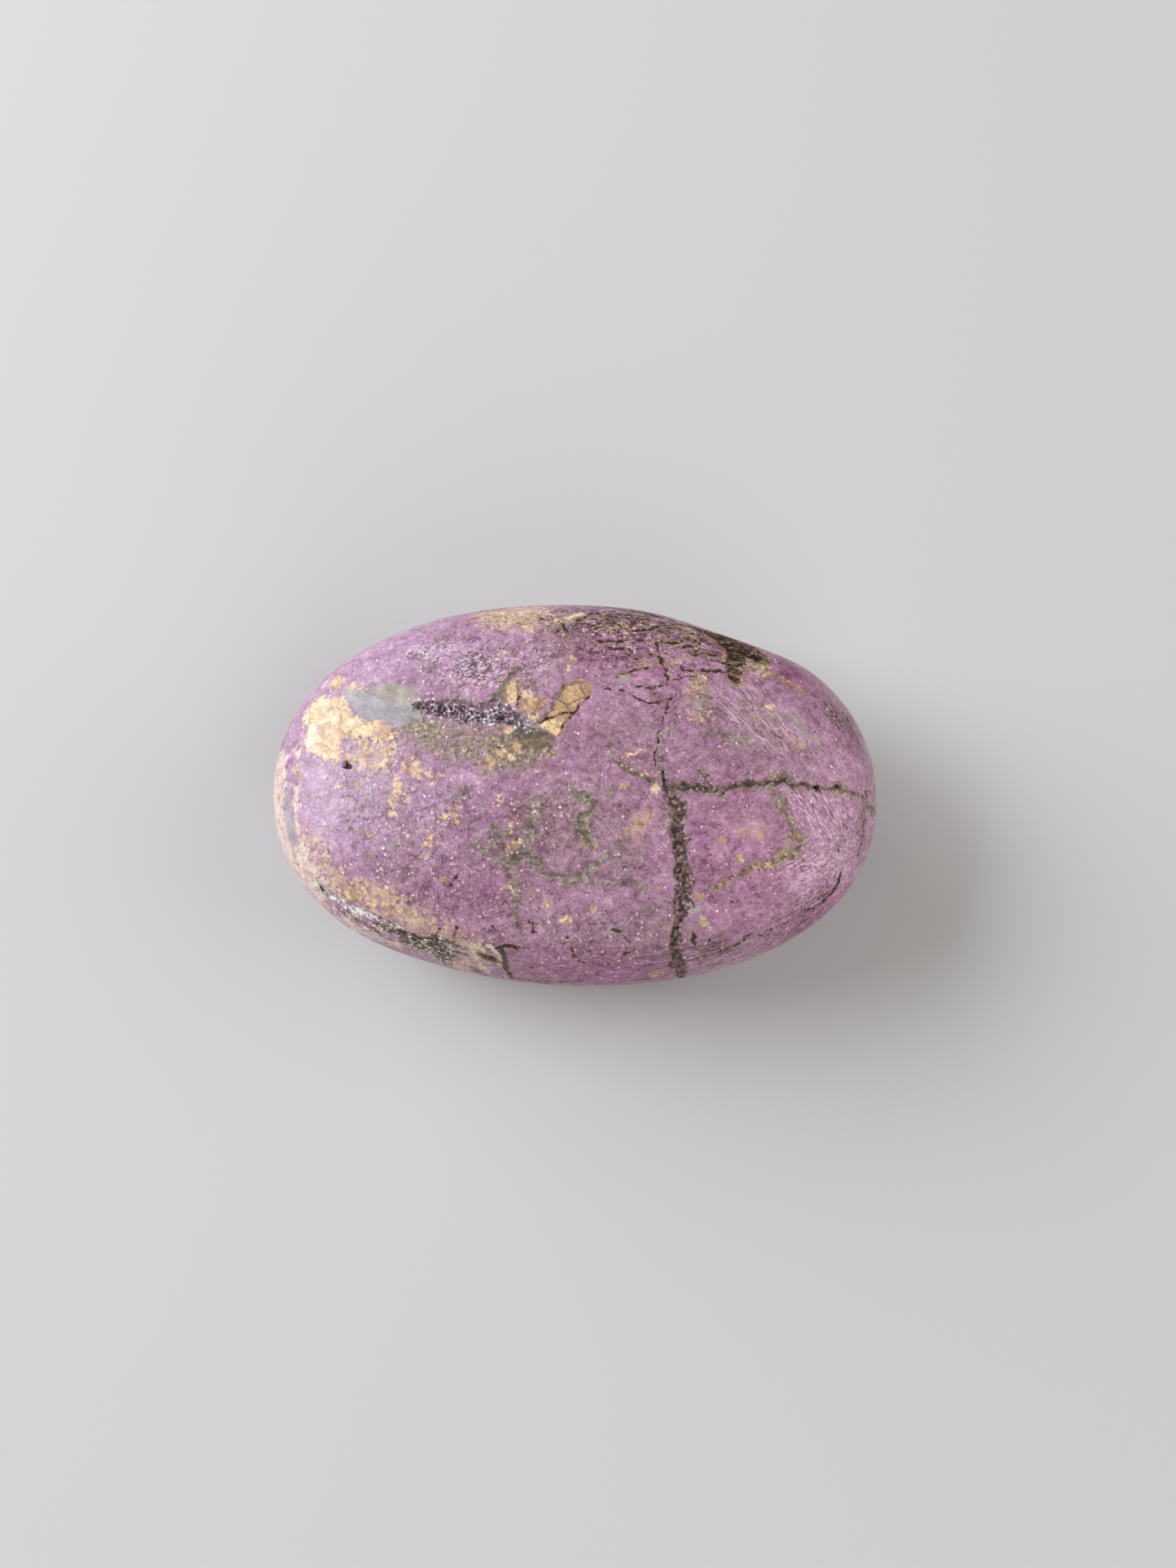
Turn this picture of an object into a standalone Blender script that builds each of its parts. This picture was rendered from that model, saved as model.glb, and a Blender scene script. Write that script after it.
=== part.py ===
"""A palm stone of purpurite: one hand-polished pebble that rests on a small flat underneath.

The form is a low pillow. A gently domed skin closes the top and the underside, a steeper belt
runs round the edge, and two shallow flats take a little off the far right and the near left
shoulder. The polished skin is broken where the natural stone is: open veins that meet in a T,
a hollow lined with small crystals, a shattered patch at the far rim, a chipped ledge along the
near left edge, and two pits.

Lengths are in millimetres until the mesh is made, which is in metres. +X runs along the stone,
+Z is up, and the origin is on the resting face, under the middle of the stone. Inside the
functions, points are measured from the middle of the stone.
"""
import math

import bmesh
import bpy
import numpy as np

MM = 0.001

# Overall form
LENGTH = 66.0
WIDTH = 42.2
REST_DEPTH = 11.8          # from the stone's middle down to the flat it rests on
DOME_HEIGHT = 12.6         # from the middle up to the crown
DOME_LENGTH = 75.0         # the domed skin would be this long if the belt didn't cut it off
DOME_WIDTH = 48.0
BELT_HEIGHT = 16.5         # half height of the barrel that the belt is part of
PLAN_EXPONENT = 2.2        # 2 is an ellipse; a little more is a slightly fuller oval
CREASE = 60                # higher makes the crease between dome and belt crisper
REST_ROUNDING = 0.15       # how far the soft edge of the resting flat is cut back

# Flats on the shoulders: compass direction and tilt of the normal in degrees, distance
SHOULDER_FLATS = [
    (70.0, 20.0, 21.9),
    (257.0, 12.0, 21.1),
]

# Slow swell of a hand-polished skin: height, waves along X and Y per millimetre, phase
SWELLS = [
    (0.10, 0.17, 0.11, 0.6),
    (0.07, -0.12, 0.23, 2.1),
    (0.05, 0.29, -0.19, 4.0),
]

# Depths of the broken places
VEIN_DEPTH = 0.42
BRANCH_DEPTH = 0.17
NARROWEST_CUT = 0.1        # no cut is narrower than this, even where its vein pinches out
HOLLOW_DEPTH = 0.80
CRYSTAL_HEIGHT = 0.38
CRYSTAL_SPACING = 0.95
CRYSTAL_TURNS = (10.0, 72.0, 131.0)
SHATTER_DEPTH = 0.75
SHATTER_STEP = 0.95        # spacing of the cleavage steps in the shattered patch
SHATTER_SLANT = 0.35       # how far the steps turn from the stone's length, as a slope
SHATTER_BEND = 0.25        # height and waves per millimetre of the bends in the steps
SHATTER_WAVES = 1.3
STEP_FLOOR = 0.45          # the shallow side of a step, as a fraction of its deep side
LEDGE_DEPTH = 0.6
LEDGE_LIP = 0.35           # width of the steep side of the ledge
LEDGE_REACH = 3.2          # how far the chipped side runs before it meets the skin again
LEDGE_FALL = 0.4           # how much the drop below the lip counts as distance from it
LEDGE_HALF_WIDTH = 0.5

# Pits: centre, half axes along the rim and across it, depth
PITS = [
    ((-8.5, -19.0), (0.95, 0.65), 0.55),
    ((-23.4, -0.2), (0.50, 0.40), 0.45),
]

# Mesh: edge lengths away from the broken places and on them
PLAIN_EDGE = 2.3
FINE_EDGE = 0.62
FINE_MARGIN = 0.55
SPLIT_FACTOR = 1.35        # an edge is halved when it is this many times too long
SLOPE_STEP = 0.05          # distance over which the skin's slope is measured
HALVINGS = 30              # steps of the search for the skin along a line
PIECES_PER_LEG = 4         # straight pieces that each leg of a route is laid on the skin with
BALL_SUBDIVISIONS = 4
REFINING_PASSES = 4
RELAXING_PASSES = 3


def superellipse(x, y, length, width):
    """Size of the oval through x, y, as a fraction of the oval of this length and width."""
    along = np.abs(2.0 * x / length) ** PLAN_EXPONENT
    across = np.abs(2.0 * y / width) ** PLAN_EXPONENT
    return (along + across) ** (1.0 / PLAN_EXPONENT)


def fullness(points):
    """How far out points are: 1 on the polished skin, less inside, in proportion to radius."""
    x, y, z = points[..., 0], points[..., 1], points[..., 2]
    dome = np.hypot(superellipse(x, y, DOME_LENGTH, DOME_WIDTH), z / DOME_HEIGHT)
    belt = np.hypot(superellipse(x, y, LENGTH, WIDTH), z / BELT_HEIGHT)
    total = dome ** CREASE + belt ** CREASE
    total = total + (np.maximum(-z, 0.0) / REST_DEPTH) ** CREASE
    for compass, tilt, distance in SHOULDER_FLATS:
        turn, lift = math.radians(compass), math.radians(tilt)
        normal = (math.cos(lift) * math.cos(turn), math.cos(lift) * math.sin(turn), math.sin(lift))
        total = total + (np.maximum(points @ np.array(normal), 0.0) / distance) ** CREASE
    return total ** (1.0 / CREASE)


def on_skin(points):
    """Move points along their radius onto the polished skin."""
    return points / fullness(points)[..., None]


def skin_normals(points):
    """Outward normals of the skin, from the slope of its fullness."""
    slopes = []
    for axis in np.eye(3) * SLOPE_STEP:
        slopes.append(fullness(points + axis) - fullness(points - axis))
    normals = np.stack(slopes, axis=-1)
    return normals / np.linalg.norm(normals, axis=-1, keepdims=True)


def face_point(x, y, side):
    """The point of the skin over (side 1) or under (side -1) a place in the plan."""
    low, high = 0.0, DOME_HEIGHT * 1.1
    for _ in range(HALVINGS):
        middle = 0.5 * (low + high)
        if fullness(np.array([x, y, side * middle])) < 1.0:
            low = middle
        else:
            high = middle
    return np.array([x, y, side * low])


def top(x, y):
    return face_point(x, y, 1)


def under(x, y):
    return face_point(x, y, -1)


def edge(compass, height):
    """The point of the belt in a compass direction, at a height from the stone's middle."""
    turn = math.radians(compass)
    low, high = 0.0, LENGTH
    for _ in range(HALVINGS):
        middle = 0.5 * (low + high)
        place = np.array([middle * math.cos(turn), middle * math.sin(turn), height])
        if fullness(place) < 1.0:
            low = middle
        else:
            high = middle
    return np.array([low * math.cos(turn), low * math.sin(turn), height])


def top_route(*stops):
    """A route over the top of the stone from (x, y, width) stops."""
    return [(top(x, y), width) for x, y, width in stops]


def near_vein():
    """Centre line of the open vein across the near half, each point with the width there."""
    return top_route(
        (8.9, -0.8, 0.4), (9.2, -2.2, 0.6), (9.9, -3.4, 1.0), (10.5, -4.4, 1.6),
        (10.5, -5.4, 1.5), (10.4, -6.4, 1.3), (10.5, -7.4, 1.8), (10.6, -8.4, 1.7),
        (10.9, -9.4, 1.1), (10.9, -10.4, 1.6), (11.2, -11.6, 2.1), (11.2, -12.8, 1.9),
        (11.1, -14.2, 1.7), (10.8, -15.4, 1.1), (10.4, -16.4, 0.8), (10.4, -17.4, 1.1),
        (10.5, -18.4, 1.0), (11.0, -19.4, 1.5)) + [
        (edge(-60.0, 3.0), 1.3),
        (edge(-61.0, -2.0), 1.0),
        (under(9.0, -17.0), 1.1),
        (under(8.0, -13.0), 0.8),
        (under(8.6, -9.5), 0.5),
    ]


def cross_vein():
    """Centre line of the open vein that leaves the other one for the right end."""
    return top_route(
        (10.0, -2.4, 0.7), (11.2, -2.3, 1.0), (12.6, -2.4, 1.1), (13.8, -2.5, 0.7),
        (14.8, -2.7, 1.0), (15.6, -2.0, 0.5), (16.6, -1.8, 0.7), (17.8, -1.6, 0.9),
        (19.0, -1.6, 0.6), (20.0, -1.2, 0.9), (21.4, -0.9, 0.5), (22.4, -1.4, 0.7),
        (23.6, -1.2, 0.4), (25.0, -1.4, 0.5), (25.8, -1.3, 0.1), (27.3, -1.1, 0.2),
        (28.4, -1.2, 0.05), (30.2, -1.6, 0.12)) + [
        (edge(-4.0, 5.0), 0.3),
        (edge(-4.5, 0.0), 0.6),
        (under(28.0, -2.0), 0.8),
        (under(23.0, -0.5), 0.6),
    ]


def vein_routes():
    return [near_vein(), cross_vein()]


def branch_routes():
    """Thin side veins, dark and only slightly sunk."""
    return [
        top_route((4.0, 0.2, 0.35), (4.8, -0.4, 0.55), (5.8, -0.9, 0.6), (6.7, -1.4, 0.45),
                  (8.0, -2.0, 0.25)),
        top_route((12.5, -0.4, 0.4), (13.2, -1.1, 0.6), (13.6, -2.0, 0.7)),
    ]


def hollow_route():
    """Centre line of the crystal-lined hollow with its width."""
    return top_route(
        (-16.2, 6.2, 0.9), (-14.6, 5.9, 1.4), (-13.0, 5.7, 2.3), (-11.6, 5.4, 2.6),
        (-10.2, 5.0, 2.1), (-8.6, 5.2, 2.5), (-7.2, 4.9, 2.1), (-5.8, 4.2, 1.4),
        (-4.6, 3.3, 0.8))


def shatter_bar():
    """The shattered patch's bar along the far rim."""
    return top_route(
        (14.0, 16.0, 0.7), (15.3, 15.4, 1.9), (16.8, 14.5, 2.9), (18.2, 13.7, 2.5),
        (19.5, 13.0, 1.1))


def shatter_stub():
    """The shattered patch's stub, which runs in from the bar."""
    return top_route((16.9, 13.2, 2.2), (16.9, 11.8, 1.9), (16.8, 10.6, 1.5), (16.7, 9.5, 0.7))


def shatter_routes():
    return [shatter_bar(), shatter_stub()]


def ledge_route():
    """Lip of the chipped ledge along the near left edge; the second value fades its ends."""
    return top_route(
        (-26.2, -11.6, 0.2), (-24.9, -13.0, 0.8), (-22.6, -14.0, 1.0), (-20.4, -14.9, 1.0),
        (-18.4, -16.0, 1.0), (-15.6, -16.9, 1.2), (-13.2, -17.8, 1.2), (-11.0, -18.9, 0.9),
        (-9.0, -19.7, 0.3))


def near_route(points, route):
    """Distance of points to a route laid on the skin, the route's value and its closest point."""
    closest = np.full(len(points), np.inf)
    value = np.zeros(len(points))
    foot = np.zeros_like(points)
    for (start, start_value), (end, end_value) in zip(route, route[1:]):
        shares = np.linspace(0.0, 1.0, PIECES_PER_LEG + 1)
        stops = on_skin(start + shares[:, None] * (end - start))
        for index in range(PIECES_PER_LEG):
            leg = stops[index + 1] - stops[index]
            share = np.clip((points - stops[index]) @ leg / (leg @ leg), 0.0, 1.0)
            here = stops[index] + share[:, None] * leg
            distance = np.linalg.norm(points - here, axis=1)
            nearer = distance < closest
            along = (index + share) / PIECES_PER_LEG
            closest = np.where(nearer, distance, closest)
            value = np.where(nearer, start_value + along * (end_value - start_value), value)
            foot = np.where(nearer[:, None], here, foot)
    return closest, value, foot


def trench(points, route):
    """A rounded cut along a route: 1 on its centre line, 0 at its sides and beyond."""
    distance, width, _ = near_route(points, route)
    return np.clip(1.0 - (2.0 * distance / np.maximum(width, NARROWEST_CUT)) ** 2, 0.0, 1.0)


def crystal_bumps(points):
    """Small crystal points that crowd the floor of the hollow."""
    waves = np.zeros(len(points))
    for turn in CRYSTAL_TURNS:
        heading = math.radians(turn)
        along = points[:, 0] * math.cos(heading) + points[:, 1] * math.sin(heading)
        waves += np.abs(np.sin(math.pi * along / CRYSTAL_SPACING + turn))
    return waves / len(CRYSTAL_TURNS)


def shatter_steps(points):
    """Cleavage steps: each runs along the rim, drops sharply and climbs slowly."""
    bends = SHATTER_BEND * np.sin(SHATTER_WAVES * points[:, 0])
    run = points[:, 1] + SHATTER_SLANT * points[:, 0] + bends
    return (run / SHATTER_STEP) % 1.0


def ledge_drop(points):
    """The chipped side of the ledge: deepest just outside its lip, gone towards the rim."""
    distance, strength, foot = near_route(points, ledge_route())
    outward = np.stack([foot[:, 0] / LENGTH ** 2, foot[:, 1] / WIDTH ** 2], axis=1)
    outward /= np.linalg.norm(outward, axis=1, keepdims=True)
    away = points - foot
    beyond = (away[:, :2] * outward).sum(axis=1) - LEDGE_FALL * away[:, 2]
    side = np.clip(beyond / LEDGE_LIP, 0.0, 1.0)
    fading = np.clip(1.0 - distance / LEDGE_REACH, 0.0, 1.0)
    return strength * side * fading


def pit_drop(points, centre, half_axes):
    """A round-bottomed pit: 1 at its centre, 0 at its rim."""
    middle = top(*centre)
    away = points - middle
    across = np.linalg.norm(away[:, 1:], axis=1)
    size = (away[:, 0] / half_axes[0]) ** 2 + (across / half_axes[1]) ** 2
    return np.clip(1.0 - size, 0.0, 1.0)


def relief(points):
    """How deep each point of the skin is cut, in millimetres."""
    depth = np.zeros(len(points))
    for route in vein_routes():
        depth = np.maximum(depth, VEIN_DEPTH * trench(points, route))
    for route in branch_routes():
        depth = np.maximum(depth, BRANCH_DEPTH * trench(points, route))
    hollow = np.sqrt(trench(points, hollow_route()))
    floor = HOLLOW_DEPTH - CRYSTAL_HEIGHT * crystal_bumps(points)
    depth = np.maximum(depth, hollow * floor)
    for route in shatter_routes():
        broken = np.sqrt(trench(points, route))
        steps = STEP_FLOOR + (1.0 - STEP_FLOOR) * shatter_steps(points)
        depth = np.maximum(depth, SHATTER_DEPTH * broken * steps)
    depth = np.maximum(depth, LEDGE_DEPTH * ledge_drop(points))
    for centre, half_axes, pit_depth in PITS:
        depth = np.maximum(depth, pit_depth * pit_drop(points, centre, half_axes))
    return depth


def swell(points):
    """Slow unevenness of the hand-polished skin; it fades out towards the belt and the rest."""
    height = np.zeros(len(points))
    for size, along, across, phase in SWELLS:
        height += size * np.sin(along * points[:, 0] + across * points[:, 1] + phase)
    fade = np.clip(points[:, 2] / DOME_HEIGHT, 0.0, 1.0)
    return height * fade


def broken_distance(points):
    """Distance of points to the nearest broken place."""
    nearest = np.full(len(points), np.inf)
    routes = vein_routes() + branch_routes() + [hollow_route()] + shatter_routes()
    for route in routes:
        distance, width, _ = near_route(points, route)
        nearest = np.minimum(nearest, distance - 0.5 * width)
    distance, _, _ = near_route(points, ledge_route())
    nearest = np.minimum(nearest, distance - LEDGE_HALF_WIDTH)
    for centre, half_axes, _ in PITS:
        distance = np.linalg.norm(points - top(*centre), axis=1)
        nearest = np.minimum(nearest, distance - max(half_axes))
    return nearest


def vertex_places(mesh):
    """The mesh's vertices, moved onto the skin."""
    return on_skin(np.array([vertex.co[:] for vertex in mesh.verts], dtype=float))


def set_places(mesh, places):
    for vertex, place in zip(mesh.verts, places):
        vertex.co = place


def relax(mesh):
    """Even out the triangles: each vertex moves to the middle of its neighbours on the skin."""
    for _ in range(RELAXING_PASSES):
        bmesh.ops.smooth_vert(
            mesh, verts=mesh.verts, factor=0.5, use_axis_x=True, use_axis_y=True, use_axis_z=True)
        set_places(mesh, vertex_places(mesh))


def split_long_edges(mesh, edge_length_at):
    """Halve every edge that is longer than the length wanted at its middle."""
    mesh.verts.index_update()
    places = vertex_places(mesh)
    ends = np.array([[vertex.index for vertex in link.verts] for link in mesh.edges])
    starts, stops = places[ends[:, 0]], places[ends[:, 1]]
    lengths = np.linalg.norm(stops - starts, axis=1)
    wanted = edge_length_at(on_skin(0.5 * (starts + stops)))
    long_edges = [link for link, split in zip(mesh.edges, lengths > SPLIT_FACTOR * wanted) if split]
    bmesh.ops.subdivide_edges(mesh, edges=long_edges, cuts=1, use_grid_fill=True)
    bmesh.ops.triangulate(mesh, faces=[face for face in mesh.faces if len(face.verts) > 3])
    set_places(mesh, vertex_places(mesh))


def edge_length_at(places):
    """Short edges on the broken places, longer ones on the plain skin."""
    away = np.clip((broken_distance(places) - FINE_MARGIN) / (2.0 * PLAIN_EDGE), 0.0, 1.0)
    return FINE_EDGE + (PLAIN_EDGE - FINE_EDGE) * away


def stone_mesh():
    """The whole stone as one closed mesh of triangles."""
    mesh = bmesh.new()
    bmesh.ops.create_icosphere(mesh, subdivisions=BALL_SUBDIVISIONS, radius=1.0)
    set_places(mesh, vertex_places(mesh))
    for _ in range(REFINING_PASSES):
        split_long_edges(mesh, edge_length_at)
        relax(mesh)
    skin = vertex_places(mesh)
    shaped = skin + skin_normals(skin) * (swell(skin) - relief(skin))[:, None]
    shaped[:, 2] = np.maximum(shaped[:, 2], REST_ROUNDING - REST_DEPTH)
    low, high = shaped.min(axis=0), shaped.max(axis=0)
    origin = np.array([0.5 * (low[0] + high[0]), 0.5 * (low[1] + high[1]), low[2]])
    set_places(mesh, (shaped - origin) * MM)
    bmesh.ops.recalc_face_normals(mesh, faces=mesh.faces)
    data = bpy.data.meshes.new("purpurite_stone")
    mesh.to_mesh(data)
    mesh.free()
    return data


def purpurite():
    """Polished purple phosphate with a satin gloss."""
    material = bpy.data.materials.new("purpurite")
    material.use_nodes = True
    shader = material.node_tree.nodes["Principled BSDF"]
    shader.inputs["Base Color"].default_value = (0.34, 0.17, 0.32, 1.0)
    shader.inputs["Roughness"].default_value = 0.38
    shader.inputs["Metallic"].default_value = 0.0
    return material


def clear_scene():
    for thing in list(bpy.data.objects):
        bpy.data.objects.remove(thing, do_unlink=True)


def main():
    clear_scene()
    data = stone_mesh()
    data.materials.append(purpurite())
    data.shade_smooth()
    stone = bpy.data.objects.new("purpurite_stone", data)
    bpy.context.scene.collection.objects.link(stone)


main()
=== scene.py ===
"""Looks for the purpurite palm stone: a finely shaped copy of its solid, its minerals and light.

The fine stone is worked out from the same dimensions as the solid that it stands for. Lengths are
in millimetres until the mesh is made. Inside the shaping functions, points are measured from the
middle of the stone; +X runs along it and +Z is up. Places on the top are given in the plan, x and
y, and laid on the polished skin.
"""

import math

import bmesh
import bpy
import numpy as np
from mathutils import Matrix, Vector, noise


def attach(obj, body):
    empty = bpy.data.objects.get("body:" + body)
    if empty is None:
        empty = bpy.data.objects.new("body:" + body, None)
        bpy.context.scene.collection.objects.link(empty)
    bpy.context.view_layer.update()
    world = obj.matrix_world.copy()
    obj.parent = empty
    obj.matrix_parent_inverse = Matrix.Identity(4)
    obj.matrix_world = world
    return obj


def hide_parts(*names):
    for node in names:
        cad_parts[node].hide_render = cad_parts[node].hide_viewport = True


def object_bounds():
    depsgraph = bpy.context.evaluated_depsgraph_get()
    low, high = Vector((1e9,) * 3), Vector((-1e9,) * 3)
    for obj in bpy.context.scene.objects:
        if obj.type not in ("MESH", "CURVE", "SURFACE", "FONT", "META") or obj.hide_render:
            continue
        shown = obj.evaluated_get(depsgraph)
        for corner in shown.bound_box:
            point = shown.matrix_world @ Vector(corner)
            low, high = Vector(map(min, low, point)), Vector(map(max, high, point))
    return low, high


MM = 0.001
NODE = "purpurite_stone"

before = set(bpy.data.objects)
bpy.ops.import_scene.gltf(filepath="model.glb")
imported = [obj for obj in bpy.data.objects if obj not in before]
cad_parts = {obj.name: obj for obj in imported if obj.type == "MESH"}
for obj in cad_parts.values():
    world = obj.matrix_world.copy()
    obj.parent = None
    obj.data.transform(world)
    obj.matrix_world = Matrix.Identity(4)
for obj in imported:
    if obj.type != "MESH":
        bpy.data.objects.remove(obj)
cad_low, cad_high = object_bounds()

# Overall form
LENGTH = 66.0
WIDTH = 42.2
REST_DEPTH = 11.8
DOME_HEIGHT = 12.6
DOME_LENGTH = 75.0
DOME_WIDTH = 48.0
BELT_HEIGHT = 16.5
PLAN_EXPONENT = 2.2
CREASE = 60
REST_ROUNDING = 0.15

# Flats on the shoulders: compass direction and tilt of the normal in degrees, distance
SHOULDER_FLATS = [(70.0, 20.0, 21.9), (257.0, 12.0, 21.1)]

# Slow swell of a hand-polished skin: height, waves along X and Y per millimetre, phase
SWELLS = [(0.10, 0.17, 0.11, 0.6), (0.07, -0.12, 0.23, 2.1), (0.05, 0.29, -0.19, 4.0)]

# Depths of the broken places
VEIN_DEPTH = 0.42
BRANCH_SHARE = 0.4         # of the open veins' depth
HOLLOW_DEPTH = 0.80
CRYSTAL_RISE = 0.494
LUMP_RISE = 0.19
SHATTER_DEPTH = 0.75
CRACK_DEPTH = 0.14

# Cleavage steps of the shattered patch: pitch, slant and bends of their run, share of the depth
SHATTER_STEP = 0.95
SHATTER_SLANT = 0.35
SHATTER_BEND = 0.25
SHATTER_WAVES = 1.3
STEP_FLOOR = 0.45
STEP_SHARE = 0.55

# Chipped ledge: depth, width of its lip, reach outwards, and how its edge falls with the height
LEDGE_DEPTH = 0.6
LEDGE_LIP = 0.35
LEDGE_REACH = 3.2
LEDGE_FALL = 0.4
LEDGE_HALF_WIDTH = 0.7

# Rough rock: size of its grains, seed of their noise
VEIN_GRAINS = (0.45, 3.0)
CRYSTALS = (0.42, 5.0)
LUMPS = (0.9, 9.0)
SHATTER_GRAINS = (0.5, 7.0)
LEDGE_GRAINS = (0.7, 11.0)

# How much those grains change the depth
VEIN_ROUGHNESS = 0.55
SHATTER_ROUGHNESS = 0.3
LEDGE_ROUGHNESS = 0.4

# Lines and patches wander, and the patches' edges sway more and more down the sides
WANDER = 0.30
WANDER_SIZE = 1.1
WANDER_FLOOR = -4.0        # nothing wanders below this height
WANDER_SEEDS = (13.0, 17.0)
SWAY = 4.5
SWAY_SIZE = 7.0
SWAY_TOP = 3.0             # below this height, edges sway
SWAY_FALL = 6.0            # over this height the sway grows to its full size
SWAY_SEEDS = (23.0, 29.0, 31.0)
SIDE_TOP = 1.0             # below this height, patches get smaller
SIDE_SHRINK = 0.75         # millimetres lost at their edges for each millimetre down
SOFT_FALL = 3.0            # soft regions fade out over this height, below the stone's middle
SOFT_STEEPNESS = 1.35
LINE_END = 0.55            # width of a line's ends, as a share of its own

# Pits: centre, half axes along the rim and across it, depth
PITS = [((-8.5, -19.0), (0.95, 0.65), 0.55), ((-23.4, -0.2), (0.50, 0.40), 0.45)]

# Mesh: edge lengths on the top, underneath, and on the broken places
TOP_EDGE = 0.40
UNDER_EDGE = 0.60
FINE_EDGE = 0.15
FINE_MARGIN = 0.25         # edges stay fine this far from a broken place
FINE_FALL = 1.2            # and grow to their full length over this distance
UNDER_FALL = 6.0
SPLIT_FACTOR = 1.35
FIRST_SUBDIVISIONS = 6
REFINING_PASSES = 5
RELAXING_PASSES = 2

# Measuring
SLOPE_STEP = 0.05
FACE_HALVINGS = 24
EDGE_HALVINGS = 30
PIECES_PER_LEG = 4
NARROWEST_CUT = 0.1
FAR = 6.0                  # signed distances are kept within this many millimetres
RING_RADIUS = 27.0
TINY = 1e-9
SMALLEST_SHARE = 1e-6
GRAIN_OCTAVES = (1.0, 2.0, 3)    # how fast they weaken, how much finer each is, how many


def superellipse(x, y, length, width):
    """Size of the oval through x, y, as a fraction of the oval of this length and width."""
    along = np.abs(2.0 * x / length) ** PLAN_EXPONENT
    across = np.abs(2.0 * y / width) ** PLAN_EXPONENT
    return (along + across) ** (1.0 / PLAN_EXPONENT)


def direction(compass, tilt):
    """Unit vector in a compass direction, tilted up; both in degrees."""
    turn, lift = math.radians(compass), math.radians(tilt)
    return math.cos(lift) * math.cos(turn), math.cos(lift) * math.sin(turn), math.sin(lift)


def fullness(points):
    """How far out points are: 1 on the polished skin, less inside, in proportion to radius."""
    x, y, z = points[..., 0], points[..., 1], points[..., 2]
    dome = np.hypot(superellipse(x, y, DOME_LENGTH, DOME_WIDTH), z / DOME_HEIGHT)
    belt = np.hypot(superellipse(x, y, LENGTH, WIDTH), z / BELT_HEIGHT)
    total = dome ** CREASE + belt ** CREASE
    total = total + (np.maximum(-z, 0.0) / REST_DEPTH) ** CREASE
    for compass, tilt, distance in SHOULDER_FLATS:
        normal = np.array(direction(compass, tilt))
        total = total + (np.maximum(points @ normal, 0.0) / distance) ** CREASE
    return total ** (1.0 / CREASE)


def on_skin(points):
    """Move points along their radius onto the polished skin."""
    return points / fullness(points)[..., None]


def skin_normals(points):
    """Outward normals of the skin, from the slope of its fullness."""
    slopes = [fullness(points + axis) - fullness(points - axis) for axis in np.eye(3) * SLOPE_STEP]
    normals = np.stack(slopes, axis=-1)
    return normals / np.linalg.norm(normals, axis=-1, keepdims=True)


def skin_ahead(start, heading, longest, halvings):
    """Where a ray from a point inside the stone meets the skin, by halving its length."""
    low, high = 0.0, longest
    for _ in range(halvings):
        middle = 0.5 * (low + high)
        if fullness(start + middle * heading) < 1.0:
            low = middle
        else:
            high = middle
    return start + low * heading


def top(x, y, side=1.0):
    """The point of the skin over a place in the plan, or under it where the side is -1."""
    start, heading = np.array([x, y, 0.0]), np.array([0.0, 0.0, side])
    return skin_ahead(start, heading, DOME_HEIGHT * 1.1, FACE_HALVINGS)


def under(x, y):
    return top(x, y, -1.0)


def edge(compass, height):
    """The point of the belt in a compass direction, at a height from the stone's middle."""
    start, heading = np.array([0.0, 0.0, height]), np.array(direction(compass, 0.0))
    return skin_ahead(start, heading, LENGTH, EDGE_HALVINGS)


def top_route(*stops):
    """A route over the top of the stone from (x, y, width) stops."""
    return [(top(x, y), width) for x, y, width in stops]


def top_line(width, *stops):
    """A route of one width over the top of the stone; its two ends taper."""
    widths = [width] * len(stops)
    widths[0] = widths[-1] = LINE_END * width
    return [(top(x, y), size) for (x, y), size in zip(stops, widths)]


def near_vein():
    """Centre line of the open vein across the near half, each point with the width there."""
    return top_route(
        (8.9, -0.8, 0.4), (9.2, -2.2, 0.6), (9.9, -3.4, 1.0), (10.5, -4.4, 1.6), (10.5, -5.4, 1.5),
        (10.4, -6.4, 1.3), (10.5, -7.4, 1.8), (10.6, -8.4, 1.7), (10.9, -9.4, 1.1), (10.9, -10.4, 1.6),
        (11.2, -11.6, 2.1), (11.2, -12.8, 1.9), (11.1, -14.2, 1.7), (10.8, -15.4, 1.1),
        (10.4, -16.4, 0.8), (10.4, -17.4, 1.1), (10.5, -18.4, 1.0), (11.0, -19.4, 1.5)) + [
        (edge(-60.0, 3.0), 1.3), (edge(-61.0, -2.0), 1.0), (under(9.0, -17.0), 1.1),
        (under(8.0, -13.0), 0.8), (under(8.6, -9.5), 0.5),
    ]


def cross_vein():
    """Centre line of the open vein that leaves the other one for the right end."""
    return top_route(
        (10.0, -2.4, 0.7), (11.2, -2.3, 1.0), (12.6, -2.4, 1.1), (13.8, -2.5, 0.7), (14.8, -2.7, 1.0),
        (15.6, -2.0, 0.5), (16.6, -1.8, 0.7), (17.8, -1.6, 0.9), (19.0, -1.6, 0.6), (20.0, -1.2, 0.9),
        (21.4, -0.9, 0.5), (22.4, -1.4, 0.7), (23.6, -1.2, 0.4), (25.0, -1.4, 0.5), (25.8, -1.3, 0.1),
        (27.3, -1.1, 0.2), (28.4, -1.2, 0.05), (30.2, -1.6, 0.12)) + [
        (edge(-4.0, 5.0), 0.3), (edge(-4.5, 0.0), 0.6), (under(28.0, -2.0), 0.8),
        (under(23.0, -0.5), 0.6),
    ]


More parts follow.
